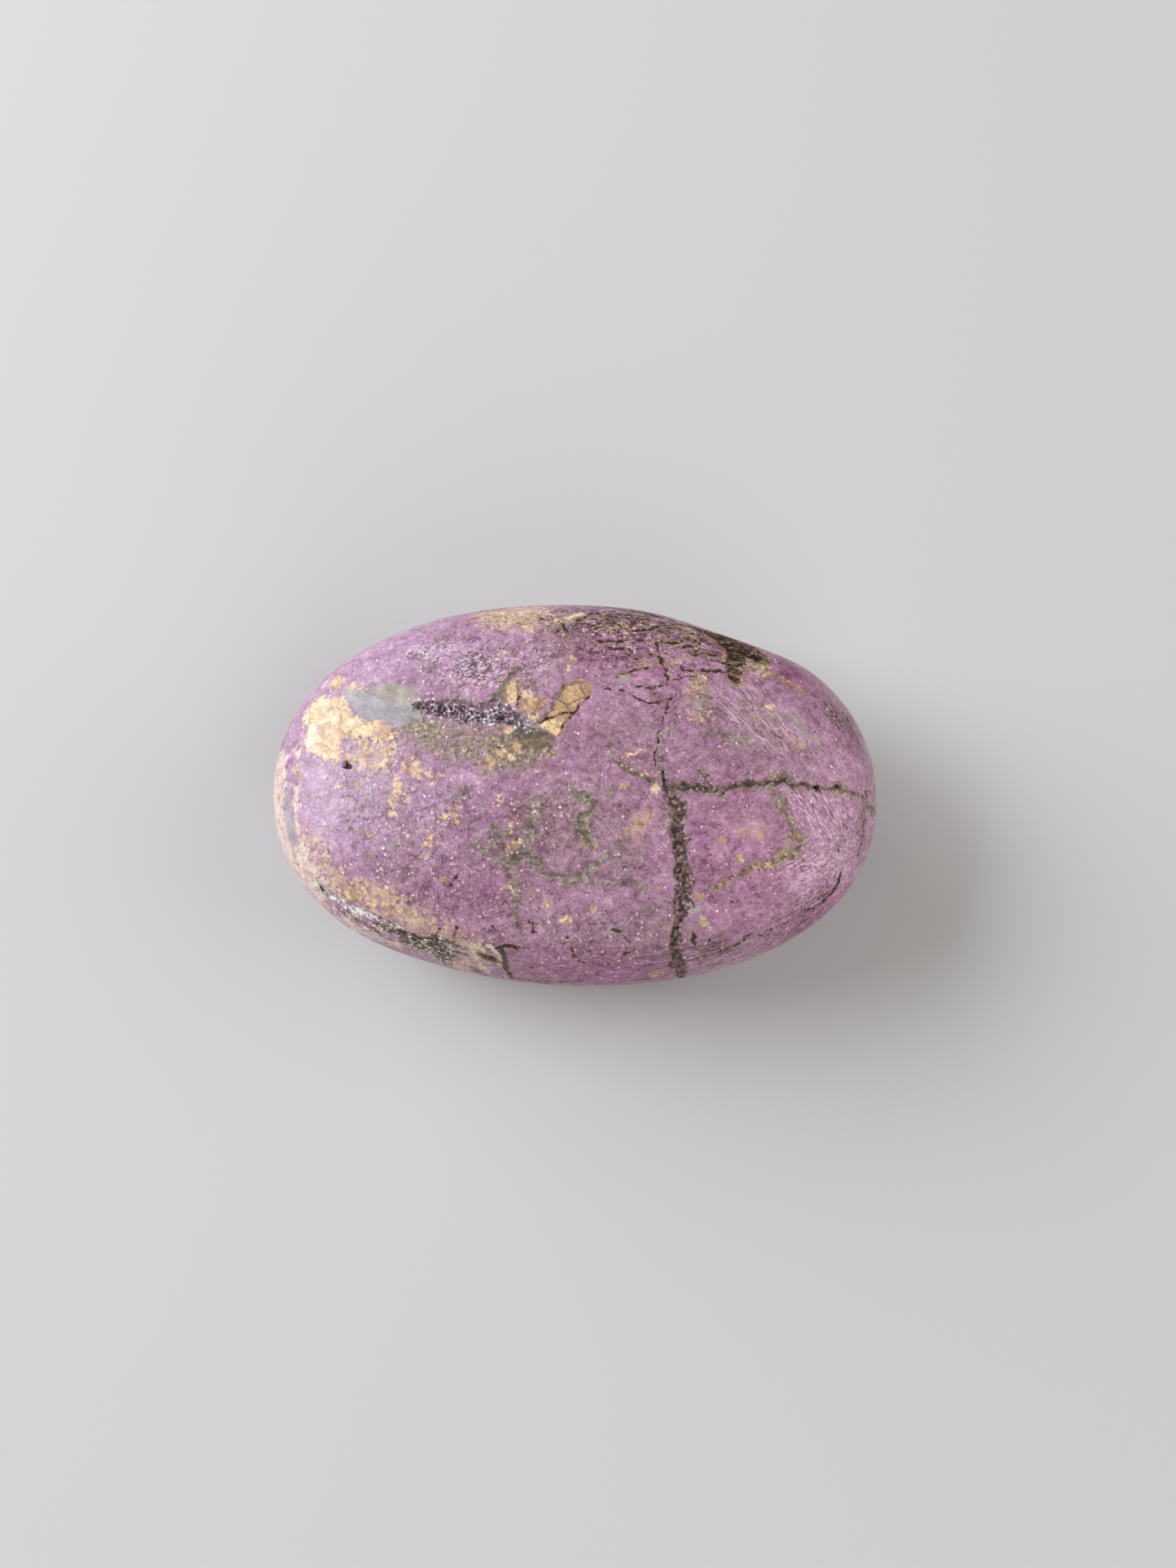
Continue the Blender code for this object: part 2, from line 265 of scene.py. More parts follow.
def branch_routes():
    """Thin side veins, dark and only slightly sunk."""
    return [
        top_route((4.0, 0.2, 0.35), (4.8, -0.4, 0.55), (5.8, -0.9, 0.6), (6.7, -1.4, 0.45),
                  (8.0, -2.0, 0.25)),
        top_route((12.5, -0.4, 0.4), (13.2, -1.1, 0.6), (13.6, -2.0, 0.7)),
    ]


def hollow_route():
    """Centre line of the crystal-lined hollow with its width."""
    return top_route(
        (-16.2, 6.2, 0.9), (-14.6, 5.9, 1.4), (-13.0, 5.7, 2.3), (-11.6, 5.4, 2.6), (-10.2, 5.0, 2.1),
        (-8.6, 5.2, 2.5), (-7.2, 4.9, 2.0), (-6.0, 4.4, 1.2), (-5.1, 3.8, 0.5))


def shatter_bar():
    """The shattered patch's bar along the far rim."""
    return top_route(
        (14.0, 16.0, 0.7), (15.3, 15.4, 1.9), (16.8, 14.5, 2.9), (18.2, 13.7, 2.5), (19.5, 13.0, 1.1))


def shatter_stub():
    """The shattered patch's stub, which runs in from the bar."""
    return top_route((16.9, 13.2, 2.2), (16.8, 12.0, 2.2), (16.7, 10.9, 2.0), (16.6, 10.0, 1.4))


def ledge_route():
    """Lip of the chipped ledge along the near left edge; the second value fades its ends."""
    return top_route(
        (-26.2, -11.6, 0.2), (-24.9, -13.0, 0.8), (-22.6, -14.0, 1.0), (-20.4, -14.9, 1.0),
        (-18.4, -16.0, 1.0), (-15.6, -16.9, 1.2), (-13.2, -17.8, 1.2), (-11.0, -18.9, 0.9),
        (-9.0, -19.7, 0.3))


# Hairline cracks: the width and the stops of each
CRACKS = [
    # Across the crown
    (0.24, (8.1, 14.9), (8.3, 13.9), (8.4, 12.9), (8.7, 12.2)),
    (0.44, (8.6, 12.2), (8.8, 11.8), (8.7, 11.2)),
    (0.26, (9.0, 11.1), (9.4, 10.6), (9.3, 9.7), (9.5, 8.7)),
    (0.18, (10.1, 7.8), (9.5, 7.1), (9.2, 6.2), (9.0, 5.4)),
    (0.12, (9.0, 5.0), (8.6, 3.6), (8.2, 2.2), (8.0, 0.8), (8.1, -1.0)),
    (0.14, (6.3, 8.5), (7.5, 8.4), (8.6, 8.4), (9.2, 8.8)),
    (0.18, (4.6, 7.9), (5.6, 7.4), (6.2, 6.9), (7.4, 6.6), (8.7, 6.7), (9.6, 7.1)),
    (0.14, (7.6, 7.7), (8.5, 7.7)), (0.2, (2.9, 7.9), (3.5, 8.0)),
    (0.16, (-3.9, 3.9), (-2.5, 4.5), (-1.2, 5.1), (-0.2, 5.1)),
    (0.16, (1.2, 6.9), (0.2, 5.7), (-0.4, 4.8), (-1.2, 3.5)), (0.12, (-1.7, 6.6), (-0.6, 6.1)),
    (0.2, (-5.9, 8.0), (-5.8, 6.8), (-5.8, 5.7)), (0.16, (9.9, 9.4), (11.2, 9.9), (12.4, 10.0)),
    # Along the far rim
    (0.46, (4.4, 18.9), (6.5, 18.6), (8.6, 18.0), (10.6, 17.4)),
    (0.4, (11.2, 17.2), (12.8, 16.4), (14.2, 15.6)), (0.36, (10.4, 16.9), (12.2, 16.7), (14.4, 16.3)),
    (0.26, (12.2, 14.4), (13.0, 15.0), (13.9, 15.3)), (0.3, (5.5, 17.4), (7.5, 17.2), (9.2, 16.8)),
    (0.34, (-0.5, 16.3), (0.4, 16.9), (1.4, 17.6), (2.5, 17.7)),
    (0.34, (2.8, 17.0), (3.9, 16.2), (5.2, 15.6)),
    (0.4, (5.4, 15.5), (6.5, 15.5), (7.8, 15.8), (8.9, 16.3)),
    (0.26, (8.6, 15.9), (9.4, 15.2), (9.8, 14.4)), (0.28, (9.4, 16.3), (11.0, 16.1), (12.4, 15.4)),
    (0.24, (1.6, 15.3), (2.6, 15.8), (4.0, 15.4)),
    (0.38, (2.0, 14.1), (2.6, 13.7), (3.6, 13.8), (5.1, 14.1)),
    (0.3, (6.0, 13.9), (6.9, 14.3), (7.7, 14.2)), (0.58, (9.0, 14.2), (9.9, 14.1), (11.0, 14.3)),
    (0.28, (11.2, 13.5), (12.3, 13.9), (13.3, 14.6)),
    (0.26, (2.6, 12.9), (3.7, 12.8), (4.7, 12.9), (5.4, 12.1), (6.2, 11.7)),
    (0.22, (0.2, 12.7), (1.3, 12.4), (2.2, 12.3)), (0.22, (4.3, 9.7), (5.4, 10.1), (6.2, 10.5)),
    (0.36, (5.9, 10.3), (6.8, 10.6), (7.7, 10.6)), (0.26, (10.3, 11.2), (11.1, 10.8), (12.0, 10.7)),
    (0.3, (12.8, 10.8), (14.3, 10.7), (15.6, 10.5)), (0.26, (13.9, 12.2), (15.6, 11.8), (16.4, 11.6)),
    (0.34, (-0.4, 16.2), (1.1, 16.0)), (0.42, (-4.0, 16.7), (-3.0, 16.4)),
    (0.36, (-1.7, 16.1), (-1.4, 15.4), (-0.9, 14.8)), (0.34, (-1.4, 15.4), (-2.3, 14.8)),
    (0.26, (12.2, 12.6), (13.4, 13.0), (15.0, 12.7)), (0.28, (6.8, 12.3), (8.0, 12.4)),
    # Along the near rim and the right end
    (0.18, (12.8, -18.6), (14.8, -18.0), (16.9, -17.2), (17.8, -16.4), (19.1, -15.8)),
    (0.26, (20.2, -15.6), (21.7, -15.0), (23.1, -13.8)),
    (0.34, (23.1, -13.7), (25.0, -13.2), (26.2, -12.4)),
    (0.58, (26.0, -12.4), (27.1, -11.5), (27.6, -10.5), (27.9, -9.3)),
    (0.18, (27.2, -11.0), (26.3, -11.7), (25.2, -12.4)),
    (0.15, (15.9, -17.7), (17.3, -16.9), (18.9, -16.2), (21.7, -15.8)),
    (0.32, (12.0, -16.4), (12.3, -16.9), (12.4, -17.6)),
    (0.66, (-7.4, -18.3), (-6.3, -18.2), (-5.2, -18.2)),
    (0.7, (-7.0, -18.2), (-6.8, -19.1), (-6.8, -19.8), (-6.3, -20.5)),
    (0.36, (-6.4, -20.4), (-4.0, -20.8), (-2.1, -21.0)), (0.32, (-13.2, -16.3), (-13.8, -17.7)),
    (0.32, (-11.4, -16.4), (-12.0, -18.2)), (0.24, (-4.3, -15.8), (-3.7, -16.2), (-3.6, -17.1)),
    (0.18, (30.3, -2.4), (30.4, -4.5), (30.2, -6.5), (29.6, -8.2)),
    (0.15, (25.1, 9.1), (26.2, 8.4), (26.9, 7.5), (27.9, 6.3)),
    (0.2, (27.7, 8.4), (28.9, 7.2), (29.7, 5.7), (30.3, 3.9), (30.6, 2.2)),
    (0.14, (26.3, 6.9), (27.4, 5.9), (28.1, 5.1)),
    (0.22, (0.1, -18.2), (0.4, -18.9), (0.9, -19.1), (1.8, -19.7)),
    (0.34, (4.1, -16.4), (4.7, -16.6), (5.3, -16.4)), (0.15, (5.3, -17.1), (6.0, -17.8), (6.6, -18.2)),
    (0.36, (5.1, -18.6), (5.9, -18.5)), (0.36, (5.4, -18.6), (5.4, -19.3)),
    (0.26, (8.1, -19.8), (9.5, -19.6)), (0.24, (8.0, -20.2), (9.1, -20.1)),
    (0.24, (8.8, -20.5), (9.7, -20.3)), (0.22, (13.5, -18.3), (14.8, -18.1)),
    (0.2, (14.2, -19.0), (15.5, -18.8)),
    (0.32, (-3.5, -20.8), (-1.9, -20.9), (0.3, -20.9), (1.6, -20.8)), (0.3, (6.5, -20.7), (8.0, -20.5)),
]


def crack_routes():
    return [top_line(width, *stops) for width, *stops in CRACKS]


def near_route(points, route):
    """Distance of points to a route laid on the skin, the route's value and its closest point.

    Points that are further off than FAR keep an infinite distance.
    """
    closest = np.full(len(points), np.inf)
    value = np.zeros(len(points))
    foot = np.zeros_like(points)
    places = np.array([place for place, _ in route])
    low, high = places.min(axis=0) - FAR, places.max(axis=0) + FAR
    some = np.nonzero(np.all((points > low) & (points < high), axis=1))[0]
    if len(some) == 0:
        return closest, value, foot
    near = points[some]
    best, best_value, best_foot = closest[some], value[some], foot[some]
    shares = np.linspace(0.0, 1.0, PIECES_PER_LEG + 1)
    for (start, start_value), (end, end_value) in zip(route, route[1:]):
        stops = on_skin(start + shares[:, None] * (end - start))
        for index in range(PIECES_PER_LEG):
            leg = stops[index + 1] - stops[index]
            share = np.clip((near - stops[index]) @ leg / (leg @ leg), 0.0, 1.0)
            here = stops[index] + share[:, None] * leg
            distance = np.linalg.norm(near - here, axis=1)
            nearer = distance < best
            value_here = start_value + (index + share) / PIECES_PER_LEG * (end_value - start_value)
            best = np.where(nearer, distance, best)
            best_value = np.where(nearer, value_here, best_value)
            best_foot = np.where(nearer[:, None], here, best_foot)
    closest[some], value[some], foot[some] = best, best_value, best_foot
    return closest, value, foot


def inside_routes(points, routes):
    """Signed distance to the side of the nearest of several routes: positive inside them."""
    deepest = np.full(len(points), -FAR)
    for route in routes:
        distance, width, _ = near_route(points, route)
        deepest = np.maximum(deepest, 0.5 * width - distance)
    return deepest


def inside_spots(points, spots):
    """Signed distance to the rim of the nearest of several round spots (x, y, radius)."""
    deepest = np.full(len(points), -FAR)
    for x, y, radius in spots:
        distance = np.linalg.norm(points - top(x, y), axis=1)
        deepest = np.maximum(deepest, radius - distance)
    return deepest


def inside_outline(points, outline):
    """Signed distance in the plan to a closed outline on the top: positive inside it."""
    plan = points[:, :2]
    corners = np.array(outline)
    distance = np.full(len(points), np.inf)
    crossings = np.zeros(len(points), dtype=int)
    for start, end in zip(corners, np.roll(corners, -1, axis=0)):
        leg = end - start
        share = np.clip((plan - start) @ leg / (leg @ leg), 0.0, 1.0)
        distance = np.minimum(distance, np.linalg.norm(plan - start - share[:, None] * leg, axis=1))
        spans = (plan[:, 1] > start[1]) != (plan[:, 1] > end[1])
        rise = leg[1] if leg[1] else TINY
        cut = start[0] + (plan[:, 1] - start[1]) / rise * leg[0]
        crossings += spans & (plan[:, 0] < cut)
    signed = np.where(crossings % 2 == 1, distance, -distance)
    below = np.clip(SIDE_TOP - points[:, 2], 0.0, FAR)
    return np.clip(signed - SIDE_SHRINK * below, -FAR, FAR)


def inside_shapes(points, outlines=(), lines=(), routes=(), spots=(), gaps=()):
    """Signed distance to the edge of a mineral's shapes: positive inside them.

    Outlines are closed, in the plan; gaps are outlines that the mineral leaves free. Lines are a
    width and stops; routes are (x, y, width) stops; spots are x, y and radius.
    """
    laid = [top_line(width, *stops) for width, *stops in lines]
    laid += [top_route(*stops) for stops in routes]
    deepest = np.maximum(inside_routes(points, laid), inside_spots(points, spots))
    for outline in outlines:
        deepest = np.maximum(deepest, inside_outline(points, outline))
    for outline in gaps:
        deepest = np.minimum(deepest, -inside_outline(points, outline))
    return deepest


# Places of the minerals on the top, by the name of their field
MINERALS = {
    # Cream and gold patches, threads and grains
    "cream": {"outlines": [
        [(-28.8, 5.2), (-28.7, 6.7), (-27.5, 8.1), (-26.0, 7.6), (-24.7, 7.6), (-23.9, 6.4),
         (-23.3, 5.4), (-22.0, 4.6), (-20.6, 4.4), (-20.2, 3.4), (-21.4, 3.0), (-22.6, 2.9),
         (-23.4, 3.2), (-24.2, 2.6), (-24.4, 1.4), (-24.2, 0.6), (-25.5, 0.5), (-26.7, 1.2),
         (-27.9, 1.8), (-28.4, 2.8), (-28.2, 3.9)],
        [(-20.6, 3.4), (-20.1, 4.5), (-19.4, 3.9), (-18.6, 2.8), (-19.6, 2.6)],
        [(-26.4, 9.2), (-26.2, 10.1), (-25.7, 10.6), (-24.8, 10.0), (-24.7, 9.0), (-25.4, 8.4)],
        [(-24.1, 9.2), (-22.2, 8.5), (-22.2, 8.2), (-24.0, 8.7)],
        [(-7.6, 6.3), (-7.5, 8.3), (-6.0, 8.5), (-5.8, 6.7), (-6.3, 6.2)],
        [(-5.6, 7.5), (-4.4, 7.2), (-3.6, 6.6), (-4.6, 6.2), (-5.5, 6.7)],
        [(-5.2, 4.7), (-3.9, 4.8), (-3.6, 4.4), (-4.3, 4.0)],
        [(-3.2, 3.9), (-2.4, 4.3), (-1.4, 4.2), (-1.6, 3.0), (-2.2, 2.6)],
    ], "lines": [
        (0.8, (-17.9, -1.2), (-18.0, -2.2), (-18.1, -3.2), (-18.2, -4.2), (-18.3, -5.4)),
        (1.0, (-18.2, -4.6), (-18.3, -5.3)), (0.3, (4.9, 0.4), (5.6, 0.9), (6.5, 1.2)),
        (0.4, (-4.8, 13.5), (-5.8, 13.3)), (0.55, (-2.0, 16.6), (-0.4, 17.2), (0.8, 17.5)),
        (0.34, (-0.7, 12.4), (-0.5, 11.4), (-0.7, 10.2)),
        (0.3, (-15.3, -8.7), (-14.4, -7.9), (-13.5, -7.4)), (0.3, (-14.8, -9.6), (-14.1, -8.4)),
        (0.28, (-14.5, -2.5), (-13.7, -1.5)), (0.32, (-17.6, -0.2), (-16.2, -1.3), (-14.6, -1.8)),
        (0.3, (-16.9, 1.0), (-15.4, -0.8), (-14.6, -1.8)), (0.44, (-13.0, -5.9), (-12.3, -5.4)),
        (0.46, (-23.6, 3.6), (-22.2, 2.6), (-21.5, 1.4), (-22.0, 0.0)),
        (0.4, (-21.4, 3.4), (-20.0, 2.2), (-19.0, 0.8), (-19.6, -0.2)),
        (0.4, (-20.4, 4.4), (-19.2, 3.0), (-18.6, 1.6)),
        (0.36, (-24.4, 2.6), (-24.2, 1.6), (-23.2, 0.6), (-22.0, 0.0), (-20.6, -0.5)),
        (0.4, (-11.7, -4.9), (-11.5, -6.2)),
    # Several of the smallest spots, from the left end to the middle, are painted glints on fine
    # scratches, laid in cream.
    ], "spots": [
        (4.9, -2.6, 0.34), (8.1, -2.5, 0.42), (7.0, -1.2, 0.24), (-16.8, -3.9, 0.2),
        (-14.3, -8.0, 0.24), (-14.9, -8.7, 0.26), (-15.2, -9.6, 0.2), (-7.3, -4.0, 0.18),
        (-1.9, -4.2, 0.18), (2.4, -1.9, 0.16), (-4.1, -1.1, 0.18), (13.2, -15.4, 0.34),
        (2.8, 5.8, 0.16), (-9.6, -18.2, 0.4), (-24.2, -2.4, 0.2), (-25.4, -1.2, 0.18),
        (-14.0, -1.6, 0.16), (-6.2, -12.9, 0.3), (-24.9, -4.4, 0.16), (-7.6, 0.8, 0.45),
        (-8.2, 17.6, 0.5), (-7.9, 11.9, 0.42), (19.8, -9.7, 0.2), (-2.6, -14.2, 0.28), (-3.1, 3.9, 0.7),
        (-6.6, 3.4, 0.5), (-22.9, -12.9, 0.5), (-20.0, -14.0, 0.4), (-18.6, -14.9, 0.35),
        (-21.4, -13.4, 0.3), (-5.2, -8.2, 0.3), (-6.2, -8.7, 0.34), (-6.3, -6.8, 0.26),
        (2.0, -14.6, 0.3), (-0.4, -15.7, 0.3), (16.9, -9.1, 0.3), (20.0, 6.9, 0.4), (-5.2, 15.0, 0.4),
        (-9.3, 8.9, 0.25), (-6.2, 0.3, 0.25),
    ]},
    # Tan parts, mostly beside the cream
    "tan": {"outlines": [
        [(-5.9, 6.7), (-4.5, 6.3), (-3.9, 7.1), (-3.1, 6.6), (-3.0, 5.6), (-3.8, 4.9), (-5.8, 5.0)],
        [(-1.4, 8.6), (0.2, 9.1), (1.6, 8.6), (1.4, 7.3), (0.4, 5.9), (-0.3, 4.5), (-1.1, 3.2),
         (-2.2, 2.6), (-3.8, 3.7), (-2.9, 4.9), (-2.3, 6.2), (-1.7, 7.6)],
    ], "lines": [
        (0.52, (6.3, 11.6), (7.5, 11.2), (8.8, 11.3), (10.2, 11.3), (11.2, 12.1)),
        (0.42, (10.9, 12.2), (12.7, 12.7)),
        (0.66, (20.2, 11.1), (21.3, 10.5), (22.2, 10.2), (23.3, 9.5), (24.1, 8.7)),
        (0.34, (21.2, 4.4), (21.8, 3.6), (22.9, 3.0), (24.2, 2.6)), (0.5, (-17.2, -3.2), (-17.4, -4.4)),
        (0.8, (-25.6, -9.8), (-24.4, -10.0)), (0.5, (-1.1, 10.8), (-1.9, 10.6)),
        (0.46, (-17.4, 0.0), (-16.7, -0.5), (-17.0, -1.2)),
        (0.3, (-8.0, 18.7), (-6.0, 18.9), (-4.4, 18.8)),
    ], "spots": [
        (-13.1, -6.0, 0.46), (-12.1, -5.2, 0.3), (-11.7, -6.3, 0.34), (-11.8, -4.7, 0.27),
        (-21.6, -7.2, 0.36), (-20.6, -7.2, 0.32), (-2.5, -14.2, 0.45), (-0.5, -15.8, 0.5),
        (1.9, -14.6, 0.42), (12.8, -13.1, 0.5), (15.0, -11.8, 0.4), (8.3, -12.4, 0.3),
        (9.3, -16.0, 0.4), (14.9, -7.4, 0.45), (16.9, -9.2, 0.45), (-22.4, -13.3, 0.65),
        (1.2, -8.4, 0.4), (2.2, -8.8, 0.3), (6.8, -6.3, 0.5), (-17.0, -0.7, 0.4), (-3.8, -13.1, 0.4),
        (21.6, -8.6, 0.35), (8.3, 13.4, 0.35), (-24.7, 0.0, 0.4), (-16.2, -15.2, 0.4),
        (-18.4, -14.6, 0.5), (-8.4, -0.3, 0.45), (-21.2, -0.4, 0.45), (-5.7, 1.4, 0.6),
        (-28.6, -0.8, 0.5), (-26.6, -3.4, 0.3), (-22.0, -2.2, 0.35), (-16.6, -7.6, 0.4),
        (-15.6, -8.6, 0.35), (-13.4, -8.3, 0.3), (-12.9, -11.8, 0.4), (-20.4, -9.4, 0.4),
        (5.4, -7.2, 0.35), (22.6, -6.5, 0.4), (20.2, 13.9, 0.4), (8.9, -20.1, 0.8), (-1.2, -20.6, 0.3),
    ]},
    # Sage and blue-grey parts of the smooth grey patch, and small bits of both
    "sage": {"outlines": [
        [(-21.6, 8.0), (-20.7, 8.6), (-19.0, 8.8), (-17.2, 8.4), (-16.3, 7.4), (-16.3, 6.2),
         (-17.4, 5.8), (-19.2, 6.4), (-20.8, 7.2)],
    ], "lines": [
        (0.4, (19.8, 7.1), (21.3, 6.2), (22.4, 5.8), (23.4, 4.8), (24.7, 3.9), (25.5, 3.4)),
    ], "spots": [
        (13.2, -15.4, 0.45), (20.6, -3.1, 0.4), (-1.2, 17.0, 0.7), (-17.9, -8.0, 0.2), (4.6, 9.4, 0.5),
        (12.6, 6.6, 0.6), (3.6, -16.6, 0.32), (23.9, 4.4, 0.5),
    ]},
    "blue": {"outlines": [
        [(-24.7, 8.6), (-22.9, 8.3), (-21.5, 7.8), (-19.7, 6.8), (-17.9, 6.3), (-16.2, 5.5),
         (-16.0, 4.5), (-17.6, 4.2), (-19.0, 3.9), (-20.1, 4.6), (-21.6, 4.2), (-22.6, 5.4),
         (-23.6, 6.7)],
    ], "lines": [
        (0.34, (-17.9, -2.0), (-18.0, -2.9)),
    ], "routes": [
        # This route, the grey-blue strip along the left end's belt, is partly grey mineral and partly a
        # painted reflection of grey surroundings in the polish.
        [(-30.0, -2.2, 0.8), (-30.0, -3.6, 1.2), (-29.8, -5.0, 1.5), (-29.5, -6.4, 1.5),
         (-29.1, -7.6, 1.0)],
    ], "spots": [
        (12.1, -14.2, 0.55), (-25.8, -12.3, 0.7), (-25.4, -13.0, 0.6), (-17.4, -8.3, 0.2),
        (-4.8, 3.4, 0.7), (-5.6, 3.9, 0.5),
    ]},
    # Olive rims and bars
    "olive_solid": {"outlines": [
        [(-5.9, 10.9), (-5.8, 10.2), (-6.6, 8.9), (-7.1, 7.7), (-7.3, 6.3), (-9.0, 6.4), (-8.2, 7.7),
         (-7.4, 8.9), (-6.6, 10.1)],
        [(-5.9, 4.2), (-3.9, 3.6), (-2.4, 2.8), (-1.8, 1.6), (-3.0, 1.0), (-5.2, 1.4), (-6.3, 2.6)],
    ], "lines": [
        (0.24, (-18.0, 12.1), (-17.0, 12.7), (-15.7, 13.5), (-14.3, 14.1), (-13.0, 14.9)),
        (0.4, (-8.9, 10.9), (-9.6, 9.4)), (0.7, (-6.2, 10.6), (-6.9, 9.3), (-7.8, 7.6), (-8.2, 6.8)),
        (0.45, (-1.3, 8.2), (-1.9, 7.0), (-2.5, 5.6), (-3.5, 4.2), (-4.7, 3.6)),
    ], "routes": [
        [(1.9, -4.0, 0.5), (1.8, -4.7, 0.5), (0.8, -5.8, 0.7), (1.0, -7.0, 0.9), (1.4, -7.9, 0.7)],
        [(-3.2, -10.6, 0.5), (-2.4, -11.3, 0.6)],
    ], "spots": [
        (-5.9, -9.9, 0.5), (-5.0, -12.3, 0.35), (0.7, -11.5, 0.4),
    ]},
    # Loosely mixed olive and tan grains
    "olive": {"outlines": [
        [(-19.0, 3.8), (-17.3, 5.2), (-14.8, 4.8), (-12.0, 4.0), (-9.0, 3.7), (-6.0, 3.7), (-3.6, 3.5),
         (-2.0, 2.0), (-2.6, 0.4), (-5.0, -0.6), (-7.6, -1.0), (-9.2, -1.6), (-10.4, 0.0), (-12.1, 0.8),
         (-14.1, 0.8), (-15.8, 1.5), (-17.8, 2.2)],
        [(17.4, 7.4), (18.6, 7.6), (18.8, 5.4), (17.6, 5.2)],
    ], "gaps": [
        [(-13.9, 3.3), (-11.5, 3.5), (-9.6, 3.0), (-9.6, 2.0), (-11.4, 1.4), (-13.6, 2.0)],
    ]},
    # Faint grey-green bands that curl through the purple
    "band": {"routes": [
        [(-3.3, -4.1, 1.2), (-3.8, -5.1, 1.4), (-4.1, -6.3, 1.2), (-4.3, -7.5, 1.0), (-5.0, -8.5, 1.1),
         (-3.9, -9.8, 1.0), (-3.1, -10.8, 1.1), (-1.9, -11.6, 1.1), (-0.4, -12.0, 1.1),
         (1.0, -11.5, 1.0), (2.1, -10.6, 0.9), (3.1, -9.8, 0.8), (4.5, -9.1, 0.6), (5.0, -7.9, 0.4)],
        [(-9.7, -8.5, 0.9), (-8.4, -9.3, 1.0), (-7.1, -10.3, 0.8), (-6.1, -11.4, 0.8),
         (-5.6, -12.8, 0.9), (-5.4, -14.1, 1.0), (-5.5, -15.4, 1.0), (-4.8, -17.0, 0.5)],
        [(-7.4, -8.7, 0.6), (-6.0, -8.7, 0.8), (-5.0, -8.5, 0.9)],
        [(1.4, -12.0, 0.6), (3.0, -12.0, 0.5), (4.6, -11.9, 0.6), (6.0, -12.0, 1.0), (7.4, -12.3, 0.8)],
        [(12.7, 3.5, 0.3), (13.9, 3.4, 0.45), (15.2, 3.3, 0.5), (16.4, 3.2, 0.5), (17.7, 2.8, 0.5)],
        [(0.0, -3.2, 0.8), (1.2, -3.7, 1.4), (1.9, -4.7, 1.2), (0.8, -5.8, 1.5), (1.0, -7.0, 1.3),
         (1.5, -8.0, 1.5), (2.2, -8.7, 0.9)],
        [(9.3, 3.6, 0.4), (8.8, 2.0, 0.5), (8.4, 0.4, 0.5), (8.4, -1.2, 0.4)],
        [(9.3, -3.0, 0.5), (9.2, -4.6, 0.5), (9.3, -6.2, 0.4)],
    ], "spots": [
        (-10.9, -3.2, 0.6), (-11.7, -3.7, 0.5), (-22.8, -6.8, 0.3), (-7.8, -7.3, 0.9),
        (-6.8, -7.3, 0.7), (-5.8, -9.9, 0.9), (3.6, -3.4, 0.5),
    ]},
    # Olive bands with gold in them, right of the near vein
    "loop": {"routes": [
        [(20.0, -2.0, 0.6), (20.4, -2.9, 0.9), (21.2, -3.4, 0.9), (21.5, -4.4, 0.9), (22.1, -5.4, 0.8),
         (22.5, -6.4, 0.9), (23.2, -6.9, 1.0), (22.9, -7.8, 1.0), (22.1, -8.6, 1.2), (21.0, -9.0, 1.3),
         (19.7, -9.6, 1.0), (18.5, -9.9, 0.8), (17.4, -10.3, 0.7), (16.2, -11.0, 0.7),
         (15.0, -11.8, 0.8), (14.0, -12.2, 0.7)],
        [(22.3, -6.6, 0.5), (21.7, -7.6, 0.5), (20.6, -8.5, 0.5)],
        [(26.2, -1.0, 0.5), (27.2, -1.2, 1.6), (28.3, -1.4, 0.8), (29.6, -1.6, 0.4)],
        [(29.9, -1.6, 0.6), (31.0, -2.4, 0.8), (31.8, -2.9, 0.8)],
        [(20.2, -0.5, 0.4), (21.2, -0.5, 0.9), (22.2, -1.0, 0.5)],
    ]},
    # Dark spots
    "spots": {"spots": [
        (-4.0, -19.9, 0.3), (-12.0, -12.2, 0.3), (-11.6, -11.7, 0.2), (27.2, -7.5, 0.3),
        (16.0, -13.4, 0.2), (14.0, -17.0, 0.2), (25.1, -1.4, 0.35), (-23.4, -0.3, 0.35),
        (-12.4, -18.3, 0.34), (-11.0, -18.6, 0.3), (-10.6, -19.6, 0.4), (30.7, -1.0, 0.4),
        (27.3, -1.1, 0.2), (-26.0, -12.3, 0.4), (12.4, -19.6, 0.2), (2.8, -20.4, 0.25), (9.3, 9.3, 0.2),
        (-11.7, -18.4, 0.42), (-13.2, -17.8, 0.36), (-14.4, -17.3, 0.3),
    ]},
    # The chipped ledge: a white lip, partly pale crystals and partly a painted highlight where light
    # catches the edge, and the dark grit and lines just outside it
    "ledge_white_glint": {"routes": [
        [(-25.2, -13.1, 0.6), (-24.0, -13.7, 1.0), (-22.8, -14.3, 1.2), (-21.7, -14.7, 1.2),
         (-20.8, -15.2, 1.0), (-19.7, -15.5, 0.6), (-18.4, -16.0, 0.4), (-17.0, -16.5, 0.3)],
        [(-15.8, -17.2, 0.3), (-14.6, -17.5, 0.35)],
    ]},
    "ledge_grit": {"outlines": [
        [(-17.4, -16.7), (-16.2, -16.9), (-15.0, -17.0), (-13.8, -17.2), (-12.9, -17.9), (-12.0, -18.7),
         (-10.8, -19.3), (-9.6, -19.8), (-8.0, -20.2), (-6.2, -20.3), (-6.0, -20.7), (-8.0, -20.7),
         (-10.0, -20.2), (-12.0, -19.5), (-13.4, -18.9), (-15.0, -18.2), (-16.6, -17.6),
         (-18.0, -17.0)],
    ], "lines": [
        (0.42, (-24.4, -14.3), (-22.6, -15.1), (-20.8, -16.0), (-19.2, -16.9), (-17.8, -17.3)),
        (0.46, (-20.2, -15.0), (-18.8, -15.6), (-17.6, -16.2), (-16.8, -16.7)),
